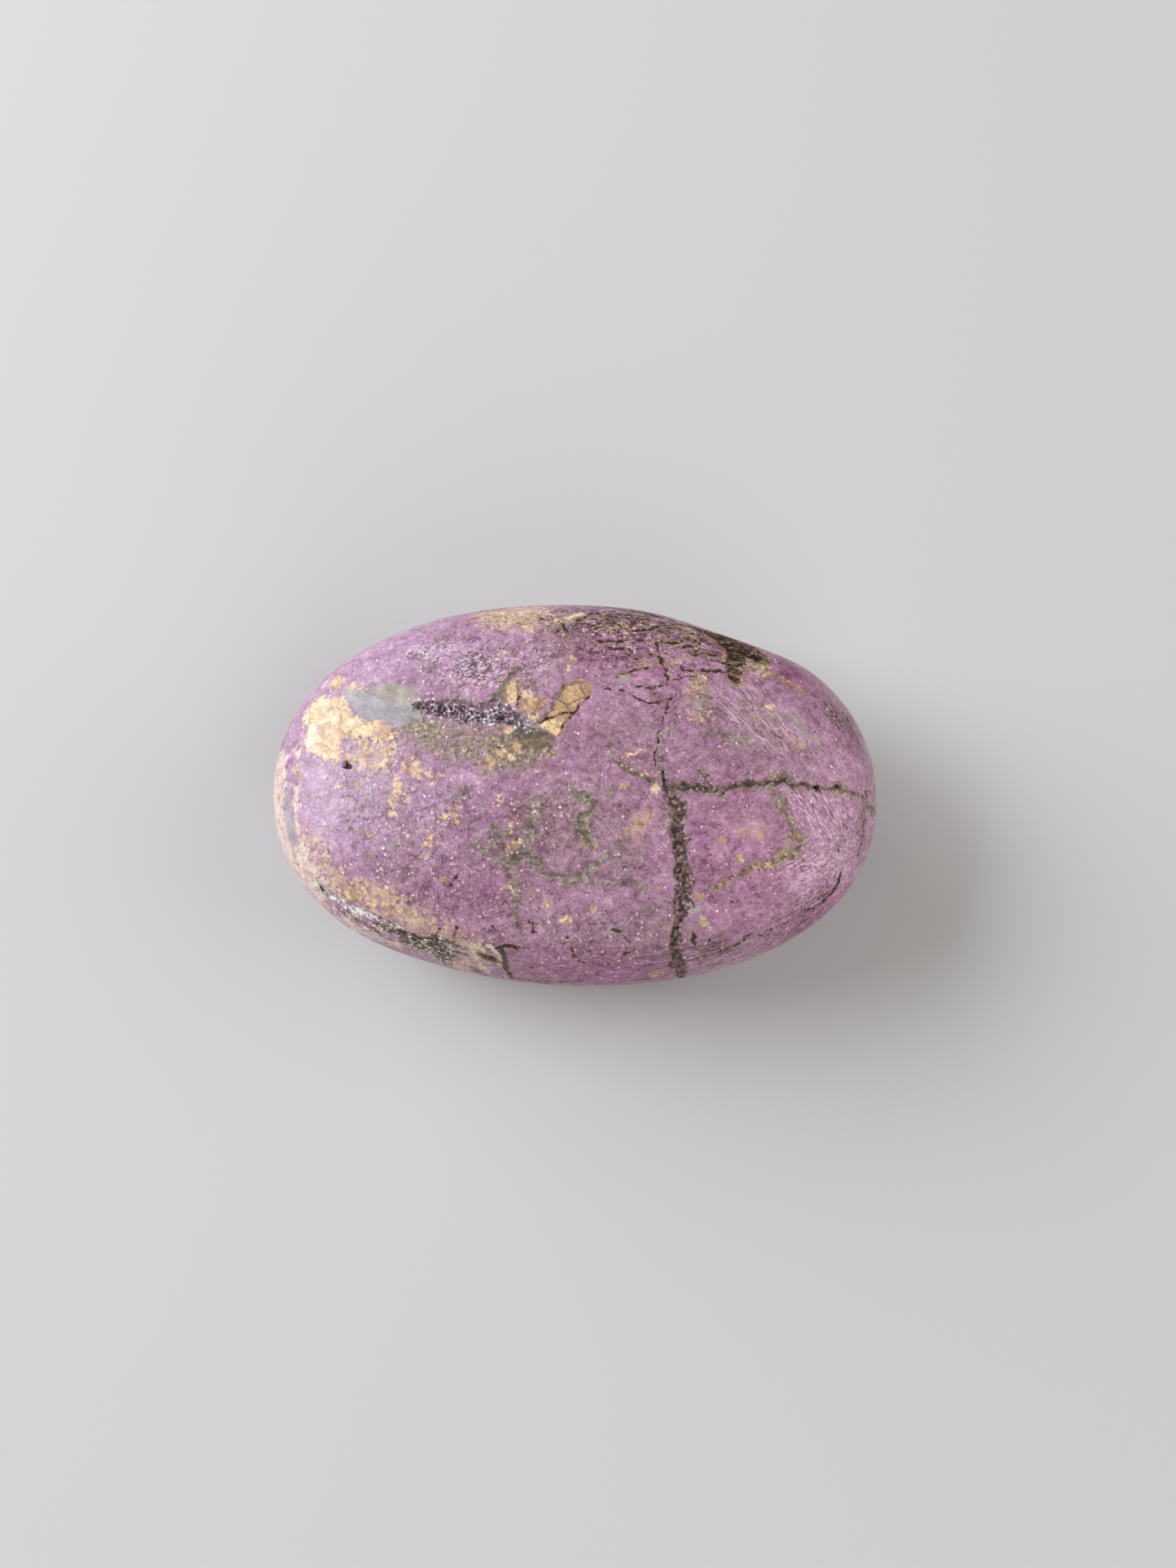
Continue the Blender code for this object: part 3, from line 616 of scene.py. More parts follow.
        (1.1, (-20.4, -15.8), (-19.0, -16.4), (-17.8, -16.8), (-17.0, -17.0)),
        (0.5, (-26.1, -11.9), (-25.7, -12.7), (-25.2, -13.3)),
        (0.9, (-13.6, -17.6), (-12.2, -18.5), (-11.0, -19.2)),
        (0.8, (-14.2, -17.0), (-12.8, -17.5), (-11.6, -18.0), (-10.6, -18.3)),
        (0.6, (-11.2, -19.2), (-10.0, -19.9), (-8.6, -20.4), (-7.2, -20.6)),
    ]},
    # Soft cream along the left end, outside the grey strip, and below the ledge
    "rim_cream": {"outlines": [
        [(-34.0, 3.0), (-31.0, 2.4), (-30.4, -1.8), (-30.0, -4.0), (-29.2, -7.2), (-27.7, -7.9),
         (-26.6, -9.6), (-25.3, -11.4), (-24.8, -12.8), (-26.4, -13.8), (-32.0, -12.0), (-34.5, -6.0)],
        [(-25.4, -14.1), (-24.6, -14.6), (-21.4, -16.0), (-18.4, -17.5), (-15.0, -19.0), (-13.6, -19.8),
         (-16.0, -20.6), (-24.0, -17.0)],
    ], "lines": [
        (0.42, (-29.0, 2.6), (-28.9, -1.0), (-28.8, -4.6), (-28.2, -8.0)),
    ]},
    # Loose tan and cream grains: above the ledge, in the cream patch and in soft parts
    "tan_net": {"outlines": [
        [(-27.6, -7.4), (-26.4, -7.2), (-25.0, -8.8), (-24.4, -10.4), (-22.2, -11.8), (-19.4, -12.2),
         (-16.6, -13.6), (-13.4, -15.6), (-10.0, -17.4), (-8.6, -18.2), (-8.8, -19.6), (-12.6, -18.2),
         (-16.0, -16.9), (-18.6, -15.6), (-21.6, -14.2), (-24.4, -12.9), (-25.4, -11.4), (-26.8, -9.4)],
        [(-25.0, 3.6), (-22.0, 4.6), (-20.2, 4.6), (-18.4, 3.2), (-18.0, 1.4), (-18.6, 0.0),
         (-20.6, -1.0), (-22.4, -0.4), (-24.0, 0.4), (-25.2, 0.6)],
        [(-11.4, 17.6), (-7.0, 19.4), (-3.0, 19.4), (-2.4, 16.4), (-5.0, 15.2), (-8.0, 15.2),
         (-10.6, 16.0)],
    ], "lines": [
        (0.7, (12.6, 8.8), (13.0, 9.8)), (1.6, (18.8, 13.2), (19.4, 11.8), (20.2, 11.2)),
    ], "spots": [
        (12.6, 5.4, 0.7),
    ], "gaps": [
        [(-24.1, 2.6), (-23.3, 2.9), (-22.4, 2.3), (-22.2, 1.4), (-22.9, 0.8), (-23.9, 1.0)],
        [(-20.8, 2.7), (-19.9, 2.8), (-19.7, 2.0), (-20.6, 1.8)],
    ]},
    # Cream ring round the oval pit and along the corner crack
    "pit_rim": {"routes": [
        [(-10.0, -18.1, 0.7), (-8.9, -18.0, 0.6), (-7.8, -18.2, 0.6), (-7.3, -18.9, 0.6),
         (-7.1, -19.7, 0.5)],
        [(-10.0, -18.2, 0.6), (-9.6, -19.3, 0.6), (-8.7, -19.9, 0.6), (-7.6, -20.3, 0.5),
         (-6.9, -20.5, 0.4)],
    ]},
    # Floor of the oval pit
    "pit_floor": {"routes": [
        [(-9.3, -18.7, 0.9), (-8.5, -19.0, 1.8), (-7.7, -19.3, 1.0)],
    ]},
}


# Soft regions on the top: centre, reach along and across, turn in degrees, strength
BLOBS = {
    "net": [
        (-16.0, -7.6, 8.5, 5.5, 0.0, 1.0), (-12.0, -12.5, 9.0, 4.5, -15.0, 0.8),
        (-22.0, -3.0, 6.0, 5.0, 0.0, 0.4), (-4.5, -9.0, 7.0, 8.0, 0.0, 0.5),
        (2.0, -17.5, 11.0, 3.6, 0.0, 0.6), (-10.5, 11.5, 9.0, 4.5, 10.0, 0.2),
        (5.5, 14.0, 10.0, 5.5, -12.0, 0.7), (-6.5, 7.5, 5.0, 4.0, 0.0, 0.6),
    ],
    "bark": [
        (4.0, 16.6, 9.0, 4.4, -8.0, 1.0), (11.5, 15.6, 6.0, 3.6, -30.0, 1.0),
        (4.5, 12.6, 6.5, 2.4, -2.0, 0.6), (10.5, 18.0, 7.0, 2.2, -28.0, 1.0),
        (5.0, 19.4, 10.0, 3.0, -12.0, 0.9),
    ],
    "peach": [
        (17.8, -6.2, 2.8, 1.6, -20.0, 1.0), (6.6, -6.1, 2.6, 1.4, 40.0, 1.0),
        (6.8, 11.3, 2.4, 0.8, 0.0, 0.8), (11.4, 12.1, 2.6, 0.8, 20.0, 0.8),
        (22.6, 3.4, 2.6, 0.9, -35.0, 0.8), (-27.6, -7.5, 2.0, 3.0, 0.0, 0.6),
        (12.4, 8.4, 1.7, 3.0, -18.0, 1.0),
    ],
    "hatch": [
        (-10.5, 10.6, 6.5, 4.0, 15.0, 1.0), (-15.5, 12.6, 5.5, 2.2, 20.0, 0.6),
        (-4.5, 11.5, 4.5, 4.0, 30.0, 0.6), (-6.5, 15.5, 5.0, 2.5, 0.0, 0.5),
    ],
    # Silky parts: their streaks and strokes are painted sheen on the fibres.
    "silk_sheen_down": [
        (26.0, -4.2, 7.5, 4.2, -25.0, 1.0), (19.5, 5.5, 9.0, 6.0, -35.0, 0.65),
        (27.0, 2.0, 6.0, 4.0, -50.0, 0.5), (17.0, -4.5, 6.5, 4.0, -30.0, 0.2),
    ],
    "silk_sheen_up": [
        (25.2, -9.6, 6.5, 4.4, 15.0, 1.0), (19.0, -14.0, 6.0, 3.0, 10.0, 0.4),
    ],
    # The left end, with its polishing lines and a painted sheen that evens it out towards a pale tone.
    "brushed": [
        (-25.5, -3.5, 4.5, 6.5, 0.0, 1.0), (-20.5, -1.5, 4.0, 3.5, 0.0, 0.5),
    ],
    "crease": [
        (28.6, 6.0, 3.0, 7.0, 25.0, 0.8), (30.2, -5.0, 1.6, 5.0, 0.0, 0.8),
        (25.0, -13.0, 6.0, 2.4, 40.0, 1.0), (12.0, -18.4, 12.0, 3.0, 10.0, 0.9),
        (-6.0, -19.6, 9.0, 2.0, 0.0, 0.7), (3.0, -18.6, 10.0, 3.0, 0.0, 0.45),
    ],
    "flecks": [
        (3.0, -19.2, 10.0, 2.6, 0.0, 1.0), (14.0, -18.6, 7.0, 2.0, 12.0, 0.8),
        (-7.0, -17.0, 5.0, 3.0, -20.0, 0.4), (10.0, 14.0, 7.0, 3.0, -20.0, 0.5),
    ],
    "olive_grain": [
        (-12.5, 1.8, 6.5, 3.2, -10.0, 0.55), (-6.0, 1.0, 5.0, 3.2, 10.0, 0.75),
        (-15.5, 3.5, 4.5, 2.0, -15.0, 0.7), (-6.0, 8.6, 4.0, 4.5, 0.0, 0.4),
        (-6.5, 17.2, 5.5, 2.6, 0.0, 0.45), (-1.5, 15.0, 4.0, 2.6, 0.0, 0.4),
        (12.8, 8.4, 2.0, 3.6, 10.0, 0.55), (19.5, 12.2, 1.9, 2.4, 0.0, 0.6),
        (-7.2, -8.2, 3.0, 2.4, 0.0, 0.25), (-2.0, 16.8, 3.0, 1.6, 0.0, 0.45),
        (7.0, 16.8, 8.0, 2.2, -12.0, 0.3),
    ],
    # Paler upper left rim: partly a lighter purple, partly painted sheen.
    "pale_sheen": [
        (-27.6, 5.6, 4.0, 5.0, 0.0, 1.0), (-20.5, 12.6, 9.0, 4.2, 25.0, 1.0),
        (-29.0, 9.0, 3.0, 5.0, -30.0, 0.8),
    ],
    # Pinker, brighter right end and far rim: partly the stone's pink, partly painted silky sheen.
    "pink": [
        (18.5, -8.0, 14.0, 10.0, 0.0, 1.0), (28.5, 1.0, 5.0, 13.0, 0.0, 1.0),
        (6.0, 13.0, 10.0, 5.0, -10.0, 0.8),
    ],
    # Lighter, bluer left half: partly lilac stone, partly painted sheen.
    "lilac_sheen": [
        (-24.0, -2.0, 14.0, 16.0, 0.0, 1.0), (-14.0, -6.0, 10.0, 12.0, 0.0, 0.7),
        (-18.0, 12.0, 14.0, 6.0, 20.0, 0.8),
    ],
    # Darker, redder bands, mostly along the rims: partly deeper purple, partly painted shade where the
    # rim turns away from the light.
    "deep": [
        (22.5, 11.6, 4.0, 2.2, -35.0, 1.0), (15.5, 13.4, 2.2, 1.2, -15.0, 0.8),
        (2.0, -20.2, 14.0, 2.6, 0.0, 1.0), (16.0, -14.0, 7.0, 5.0, 20.0, 0.4),
        (-12.0, -14.0, 6.0, 4.0, -15.0, 0.25), (-8.0, -13.5, 4.0, 4.0, 0.0, 0.2),
        (26.0, -14.0, 8.0, 2.4, 40.0, 1.0),
    ],
    "dull": [
        (-0.5, -6.0, 7.0, 7.0, 0.0, 1.0), (4.5, -7.0, 5.5, 6.0, 0.0, 0.8),
        (5.0, 3.0, 6.0, 4.0, 0.0, 0.6), (18.0, 4.5, 7.0, 5.0, -30.0, 0.8),
        (-1.5, 12.0, 4.0, 4.0, 0.0, 0.6), (-20.0, -3.0, 4.0, 4.0, 0.0, 0.5),
        (8.0, -15.0, 6.0, 3.0, 0.0, 0.5),
    ],
}


def soft_regions(points, blobs):
    """Strength of the strongest soft region at each point, from 0 to 1; none underneath."""
    strongest = np.zeros(len(points))
    above = np.clip((points[:, 2] + SOFT_FALL) / SOFT_FALL, 0.0, 1.0)
    for x, y, reach_x, reach_y, turn, strength in blobs:
        angle = math.radians(turn)
        east, north = points[:, 0] - x, points[:, 1] - y
        along = (east * math.cos(angle) + north * math.sin(angle)) / reach_x
        across = (north * math.cos(angle) - east * math.sin(angle)) / reach_y
        core = np.clip(SOFT_STEEPNESS * (1.0 - np.hypot(along, across)), 0.0, 1.0)
        strongest = np.maximum(strongest, strength * core * above)
    return strongest


def trench(points, route):
    """A rounded cut along a route: 1 on its centre line, 0 at its sides and beyond."""
    distance, width, _ = near_route(points, route)
    return np.clip(1.0 - (2.0 * distance / np.maximum(width, NARROWEST_CUT)) ** 2, 0.0, 1.0)


def grain(points, size, seed):
    """Smooth noise of about -1 to 1 at each point, with features of a size in millimetres."""
    offset = Vector((seed, 2.0 * seed, 3.0 * seed))
    return [
        noise.fractal(Vector(point) / size + offset, *GRAIN_OCTAVES) for point in points.tolist()]


def pointed_crystals(points, size, seed):
    """Crowded four-sided crystal points: 1 at a tip, 0 in the gaps between crystals."""
    offset = Vector((seed, seed, seed))
    heights = []
    for point in points.tolist():
        distances, _ = noise.voronoi(Vector(point) / size + offset, distance_metric="MANHATTAN")
        heights.append(1.0 - min(distances[0], 1.0))
    return heights


def where(mask, points, function, *details):
    """A function of the points that a mask picks out, and zero at the others."""
    values = np.zeros(len(points))
    chosen = np.nonzero(mask)[0]
    if len(chosen):
        values[chosen] = function(points[chosen], *details)
    return values


def shatter_steps(points):
    """Cleavage steps: each runs along the rim, drops sharply and climbs slowly."""
    x, y = points[:, 0], points[:, 1]
    run = y + SHATTER_SLANT * x + SHATTER_BEND * np.sin(SHATTER_WAVES * x)
    return (run / SHATTER_STEP) % 1.0


def ledge_drop(points):
    """The chipped side of the ledge: deepest just outside its lip, gone towards the rim."""
    distance, strength, foot = near_route(points, ledge_route())
    outward = np.stack([foot[:, 0] / LENGTH ** 2, foot[:, 1] / WIDTH ** 2], axis=1)
    outward /= np.maximum(np.linalg.norm(outward, axis=1, keepdims=True), TINY)
    away = points - foot
    beyond = (away[:, :2] * outward).sum(axis=1) - LEDGE_FALL * away[:, 2]
    side = np.clip(beyond / LEDGE_LIP, 0.0, 1.0)
    fading = np.clip(1.0 - distance / LEDGE_REACH, 0.0, 1.0)
    return strength * side * fading


def pit_drop(points, centre, half_axes):
    """A round-bottomed pit: 1 at its centre, 0 at its rim."""
    away = points - top(*centre)
    across = np.linalg.norm(away[:, 1:], axis=1)
    size = (away[:, 0] / half_axes[0]) ** 2 + (across / half_axes[1]) ** 2
    return np.clip(1.0 - size, 0.0, 1.0)


def swell(points):
    """Slow unevenness of the hand-polished skin; it fades out towards the belt and the rest."""
    height = np.zeros(len(points))
    for size, along, across, phase in SWELLS:
        height += size * np.sin(along * points[:, 0] + across * points[:, 1] + phase)
    return height * np.clip(points[:, 2] / DOME_HEIGHT, 0.0, 1.0)


def pushed(points, amount, size, seeds):
    """Points pushed about by noise, along as many of the axes as there are seeds."""
    moved = points.copy()
    for axis, seed in enumerate(seeds):
        moved[:, axis] += amount * where(amount > 0.0, points, grain, size, seed)
    return moved


def wander(points):
    """Points pushed about a little, so that lines laid on the skin run unevenly."""
    return pushed(points, WANDER * (points[:, 2] > WANDER_FLOOR), WANDER_SIZE, WANDER_SEEDS)


def sway(points):
    """Points pushed about more and more down the sides, for uneven edges of the patches there."""
    amount = SWAY * np.clip((SWAY_TOP - points[:, 2]) / SWAY_FALL, 0.0, 1.0)
    return pushed(points, amount, SWAY_SIZE, SWAY_SEEDS)


def relief(points):
    """How deep each point of the skin is cut, in millimetres."""
    points = wander(points)
    cuts = [np.zeros(len(points))]
    for route in (near_vein(), cross_vein()):
        cut = np.sqrt(trench(points, route))
        rough = where(cut > 0.0, points, grain, *VEIN_GRAINS)
        cuts.append(VEIN_DEPTH * cut * (1.0 + VEIN_ROUGHNESS * rough))
    cuts += [BRANCH_SHARE * VEIN_DEPTH * trench(points, route) for route in branch_routes()]
    cuts += [CRACK_DEPTH * trench(points, route) for route in crack_routes()]
    hollow = np.sqrt(trench(points, hollow_route()))
    crystals = where(hollow > 0.0, points, pointed_crystals, *CRYSTALS)
    lumps = where(hollow > 0.0, points, grain, *LUMPS)
    cuts.append(hollow * (HOLLOW_DEPTH - CRYSTAL_RISE * crystals - LUMP_RISE * lumps))
    for route in (shatter_bar(), shatter_stub()):
        broken = np.sqrt(trench(points, route))
        rough = where(broken > 0.0, points, grain, *SHATTER_GRAINS)
        steps = STEP_FLOOR + STEP_SHARE * shatter_steps(points) + SHATTER_ROUGHNESS * rough
        cuts.append(SHATTER_DEPTH * broken * steps)
    chip = ledge_drop(points)
    rough = where(chip > 0.0, points, grain, *LEDGE_GRAINS)
    cuts.append(LEDGE_DEPTH * chip * (1.0 + LEDGE_ROUGHNESS * rough))
    cuts += [depth * pit_drop(points, centre, half_axes) for centre, half_axes, depth in PITS]
    return np.maximum.reduce(cuts)


def broken_distance(points):
    """Distance of points to the nearest broken place or crack."""
    routes = [near_vein(), cross_vein(), hollow_route(), shatter_bar(), shatter_stub()]
    nearest = -inside_routes(points, routes + branch_routes() + crack_routes())
    distance, _, _ = near_route(points, ledge_route())
    nearest = np.minimum(nearest, distance - LEDGE_HALF_WIDTH)
    for centre, half_axes, _ in PITS:
        distance = np.linalg.norm(points - top(*centre), axis=1)
        nearest = np.minimum(nearest, distance - max(half_axes))
    return nearest


def edge_length_at(places):
    """Short edges on the broken places, longer ones on the plain skin."""
    away = np.clip((broken_distance(places) - FINE_MARGIN) / FINE_FALL, 0.0, 1.0)
    low = np.clip(-places[:, 2] / UNDER_FALL, 0.0, 1.0)
    plain = TOP_EDGE + (UNDER_EDGE - TOP_EDGE) * low
    wanted = FINE_EDGE + (plain - FINE_EDGE) * away
    return wanted * 1.0


def vertex_places(mesh):
    """The mesh's vertices, moved onto the skin."""
    return on_skin(np.array([vertex.co[:] for vertex in mesh.verts], dtype=float))


def set_places(mesh, places):
    for vertex, place in zip(mesh.verts, places.tolist()):
        vertex.co = place


def relax(mesh):
    """Even out the triangles: each vertex moves to the middle of its neighbours on the skin."""
    for _ in range(RELAXING_PASSES):
        bmesh.ops.smooth_vert(
            mesh, verts=mesh.verts, factor=0.5, use_axis_x=True, use_axis_y=True, use_axis_z=True)
        set_places(mesh, vertex_places(mesh))


def split_long_edges(mesh):
    """Halve every edge that is longer than the length wanted at its middle."""
    mesh.verts.index_update()
    places = vertex_places(mesh)
    ends = np.array([[link.verts[0].index, link.verts[1].index] for link in mesh.edges])
    starts, stops = places[ends[:, 0]], places[ends[:, 1]]
    lengths = np.linalg.norm(stops - starts, axis=1)
    too_long = lengths > SPLIT_FACTOR * edge_length_at(on_skin(0.5 * (starts + stops)))
    long_edges = [link for link, split in zip(mesh.edges, too_long) if split]
    bmesh.ops.subdivide_edges(mesh, edges=long_edges, cuts=1, use_grid_fill=True)
    bmesh.ops.triangulate(mesh, faces=[face for face in mesh.faces if len(face.verts) > 3])
    set_places(mesh, vertex_places(mesh))


def ring_fields(points):
    """Coordinates that follow the outline: two for the way round, and one for the level."""
    x, y, z = points.T
    share = np.maximum(superellipse(x, y, LENGTH, WIDTH), SMALLEST_SHARE)
    inset = np.hypot(x, y) * (1.0 / share - 1.0)
    turn = np.arctan2(y / WIDTH, x / LENGTH)
    return {
        "ring_x": RING_RADIUS * np.cos(turn),
        "ring_y": RING_RADIUS * np.sin(turn),
        "level": inset + z,
    }


def mineral_fields(skin):
    """Where each mineral is, by attribute name: signed distances in millimetres, or strengths."""
    points = wander(skin)
    swayed = sway(points)
    fields = {name: inside_shapes(swayed, **places) for name, places in MINERALS.items()}
    broken = {
        "vein": [near_vein()], "cross": [cross_vein()], "branch": branch_routes(),
        "crack": crack_routes(), "hollow": [hollow_route()], "shatter": [shatter_bar()],
        "stub": [shatter_stub()],
    }
    for name, routes in broken.items():
        fields[name] = inside_routes(points, routes)
    for name, blobs in BLOBS.items():
        fields[name] = soft_regions(points, blobs)
    fields.update(ring_fields(skin))
    return fields


def fine_stone():
    """The visible stone: one closed mesh with its mineral fields as vertex attributes."""
    mesh = bmesh.new()
    bmesh.ops.create_icosphere(mesh, subdivisions=FIRST_SUBDIVISIONS, radius=1.0)
    set_places(mesh, vertex_places(mesh))
    for _ in range(REFINING_PASSES):
        split_long_edges(mesh)
        relax(mesh)
    skin = vertex_places(mesh)
    shaped = skin + skin_normals(skin) * (swell(skin) - relief(skin))[:, None]
    shaped[:, 2] = np.maximum(shaped[:, 2], REST_ROUNDING - REST_DEPTH)
    low, high = shaped.min(axis=0), shaped.max(axis=0)
    cad_middle = 0.5 * (cad_low + cad_high) / MM
    origin = np.array([
        0.5 * (low[0] + high[0]) - cad_middle.x, 0.5 * (low[1] + high[1]) - cad_middle.y, low[2]])
    set_places(mesh, (shaped - origin) * MM)
    bmesh.ops.recalc_face_normals(mesh, faces=mesh.faces)
    data = bpy.data.meshes.new("stone_skin")
    mesh.to_mesh(data)
    mesh.free()
    for name, values in mineral_fields(skin).items():
        field = data.attributes.new(name, "FLOAT", "POINT")
        field.data.foreach_set("value", values.astype(np.float32))
    data.shade_smooth()
    return data


NOISE_GAIN = 9.0           # brings the usual spread of a noise texture to about 1
OFFSET_RATIOS = (1.0, 1.7, 2.3)


def srgb(red, green, blue):
    """Linear colour from everyday 0 to 255 values."""
    def linear(value):
        share = value / 255.0
        return share / 12.92 if share <= 0.04045 else ((share + 0.055) / 1.055) ** 2.4
    return (linear(red), linear(green), linear(blue))


class Graph:
    """Short calls that add shader nodes to one material and wire them together."""

    def __init__(self, material):
        self.nodes = material.node_tree.nodes
        self.links = material.node_tree.links

    def feed(self, socket, value):
        """Set a socket, or link it where the value is another node's output."""
        if isinstance(value, bpy.types.NodeSocket):
            self.links.new(value, socket)
        elif isinstance(value, (tuple, list)) and len(value) == 3 and socket.type == "RGBA":
            socket.default_value = (*value, 1.0)
        else:
            socket.default_value = value

    def node(self, kind, inputs, **settings):
        """The outputs of a new node with these settings; inputs are values by socket."""
        node = self.nodes.new("ShaderNode" + kind)
        for name, value in settings.items():
            setattr(node, name, value)
        for socket, value in inputs.items():
            self.feed(node.inputs[socket], value)
        return node.outputs

    def field(self, name):
        """One of the mesh's float attributes."""
        return self.node("Attribute", {}, attribute_type="GEOMETRY", attribute_name=name)["Fac"]

    def math(self, operation, first, second=0.0):
        return self.node("Math", {0: first, 1: second}, operation=operation)[0]

    def product(self, *values):
        result = values[0]
        for value in values[1:]:
            result = self.math("MULTIPLY", result, value)
        return result

    def total(self, *shares):
        """Sum of values, each times its share."""
        result = 0.0
        for value, share in shares:
            inputs = {0: value, 1: share, 2: result}
            result = self.node("Math", inputs, operation="MULTIPLY_ADD")[0]
        return result

    def span(self, value, low, high, low_out=0.0, high_out=1.0, curve="SMOOTHSTEP"):
        """Value mapped smoothly from low..high to low_out..high_out, and held beyond."""
        limits = {"From Min": low, "From Max": high, "To Min": low_out, "To Max": high_out}
        return self.node("MapRange", {"Value": value, **limits}, interpolation_type=curve)["Result"]

    def ridge(self, wave):
        """How far noise is from its middle: 0 along winding lines."""
        return self.math("ABSOLUTE", self.math("SUBTRACT", wave, 0.5))

    def tones(self, value, low, high, *colours):
        """Everyday colours in even steps as a value runs from low to high."""
        tone = self.node("ValToRGB", {0: self.span(value, low, high, curve="LINEAR")})[0]
        stops = tone.node.color_ramp.elements
        while len(stops) < len(colours):
            stops.new(0.5)
        for index, (stop, colour) in enumerate(zip(stops, colours)):
            stop.position = index / (len(colours) - 1)
            stop.color = (*srgb(*colour), 1.0)
        return tone

    def mix(self, amount, first, second, blend="MIX"):
        return self.node(
            "Mix", {0: amount, 6: first, 7: second}, data_type="RGBA", blend_type=blend)[2]

    def lay(self, colour, tone, *masks):
        """An everyday tone laid over a colour where the product of the masks is 1."""
        return self.mix(self.product(*masks), colour, srgb(*tone))

    def mapped(self, place, offset=0.0, direction=0.0, unit=(1.0, 1.0, 1.0)):
        """Places moved aside by an offset, so that another texture of the same kind differs.

        The unit's lengths, in millimetres, lie along a direction in the plan, across it and
        upright. The direction is in radians from +X.
        """
        moved = tuple(offset * ratio for ratio in OFFSET_RATIOS)
        turn = (0.0, 0.0, direction)
        return self.node(
            "Mapping", {"Vector": place, "Location": moved, "Rotation": turn, "Scale": unit},
            vector_type="TEXTURE")[0]

    def noise_node(self, place, size, detail, roughness, offset=0.0):
        return self.node("TexNoise", {
            "Vector": self.mapped(place, offset) if offset else place, "Scale": 1.0 / size,
            "Detail": detail, "Roughness": roughness})

    def noise(self, place, size, detail=3.0, roughness=0.55, offset=0.0):
        """Smooth noise from 0 to 1, mostly near 0.5, with features of a size in millimetres."""
        return self.noise_node(place, size, detail, roughness, offset)[0]

    def cell_node(self, place, size, offset=0.0, feature="F1"):
        moved = self.mapped(place, offset) if offset else place
        return self.node("TexVoronoi", {"Vector": moved, "Scale": 1.0 / size}, feature=feature)

    def cell_edges(self, place, size, offset):
        """Distance to the nearest border between cells of about a size in millimetres."""
        return self.cell_node(place, size, offset, "DISTANCE_TO_EDGE")["Distance"]

    def cell_value(self, cell):
        """A random value from 0 to 1 for each cell of a cell node."""
        return self.node("SeparateColor", {0: cell["Color"]})[0]

    def warp(self, place, size, amount):
        """Places pushed about by noise, at most by about half of the amount each way."""
        push = self.node("Mapping", {
            "Vector": self.noise_node(place, size, 2.0, 0.5)[1],
            "Location": (-0.5 * amount,) * 3, "Scale": (amount,) * 3}, vector_type="POINT")[0]
        return self.node("Mapping", {"Vector": place, "Location": push}, vector_type="POINT")[0]

    def streaks(self, place, direction, length, width, detail=2.0, offset=0.0):
        """Noise drawn out along a direction in the plan."""
        drawn = self.mapped(place, offset, direction, (length, width, width))
        return self.noise(drawn, 1.0, detail, 0.6)

    def bundles(self, place, middle, spread, size, length, width, detail, offset=0.0):
        """Streaks whose direction differs a little from bundle to bundle."""
        moved = self.mapped(place, offset)
        turn = self.total(
            (self.cell_value(self.cell_node(moved, size)), -spread), (0.5 * spread - middle, 1.0))
        turned = self.node("VectorRotate", {"Vector": moved, "Angle": turn}, rotation_type="Z_AXIS")
        return self.noise(self.mapped(turned[0], unit=(length, width, width)), 1.0, detail, 0.6)

    def patch(self, name, wobble, amount, soft=0.12, grow=0.0):
        """Where a mineral shows: its field, its edge ragged by about some amount in mm."""
        value = self.total(
            (wobble, NOISE_GAIN * amount), (self.field(name), 1.0),
            (grow - 0.5 * NOISE_GAIN * amount, 1.0))
        return self.span(value, -soft, soft)


class Grains:
    """Textures that many minerals share, on the places in millimetres."""

    def __init__(self, graph, place):
        self.place = place
        self.slow = graph.warp(place, 2.2, 0.9)
        self.crumbled = graph.warp(place, 0.5, 0.32)
        self.ragged = graph.warp(graph.warp(place, 1.4, 0.9), 0.35, 0.32)
        self.edge = graph.noise(place, 0.55, 5.0, 0.70)
        self.wide_edge = graph.noise(place, 0.95, 5.0, 0.68, offset=3.0)
        self.fine = graph.noise(place, 0.38, 4.0, 0.70, offset=5.0)
        self.patchy = graph.noise(place, 0.90, 5.0, 0.70, offset=7.0)
        self.broad = graph.noise(place, 1.9, 3.0, 0.6, offset=9.0)
        cell = graph.cell_node(self.crumbled, 0.32)
        self.crumbs = graph.cell_value(cell)
        self.gaps = cell["Distance"]
        self.brushed = graph.streaks(self.slow, -0.7, 2.2, 0.28, 4.0)
        self.slivers = graph.streaks(self.crumbled, -0.12, 1.2, 0.24, 4.0)
        self.brown_net = graph.math(
            "MAXIMUM",
            graph.span(graph.cell_edges(self.ragged, 2.6, 13.0), 0.060, 0.015),
            graph.span(graph.cell_edges(self.ragged, 1.1, 17.0), 0.090, 0.020, 0.0, 0.6))


# Tones of the purple ground: the middle and reach of their range, and a small shift of them all
TONE_MIDDLE = 2.05
TONE_REACH = 0.50
TONE_SHIFT = 0.065
PURPLES = [
    (112, 70, 92), (144, 101, 125), (164, 121, 148), (179, 138, 165), (199, 160, 185),
    (226, 196, 217),
]
DULL_PURPLES = [
    (108, 84, 84), (138, 112, 115), (158, 131, 136), (175, 148, 154), (194, 168, 172),
    (220, 198, 198),
]

# Tones of the fine marks and grains, from dark to light where there are several
# The brushed tone is a painted sheen over the left end.
BRUSHED_SHEEN_TONE = (190, 152, 178)
# The silky strokes' tone is a painted sheen.
SILK_SHEEN_TONE = (230, 194, 214)
PEACH_TONE = (208, 168, 146)
BROWN_NET_TONE = (118, 92, 70)
HATCH_NET_TONE = (84, 66, 62)
HATCH_STROKE_TONE = (88, 72, 68)
BARK_CRACK_TONE = (58, 38, 30)
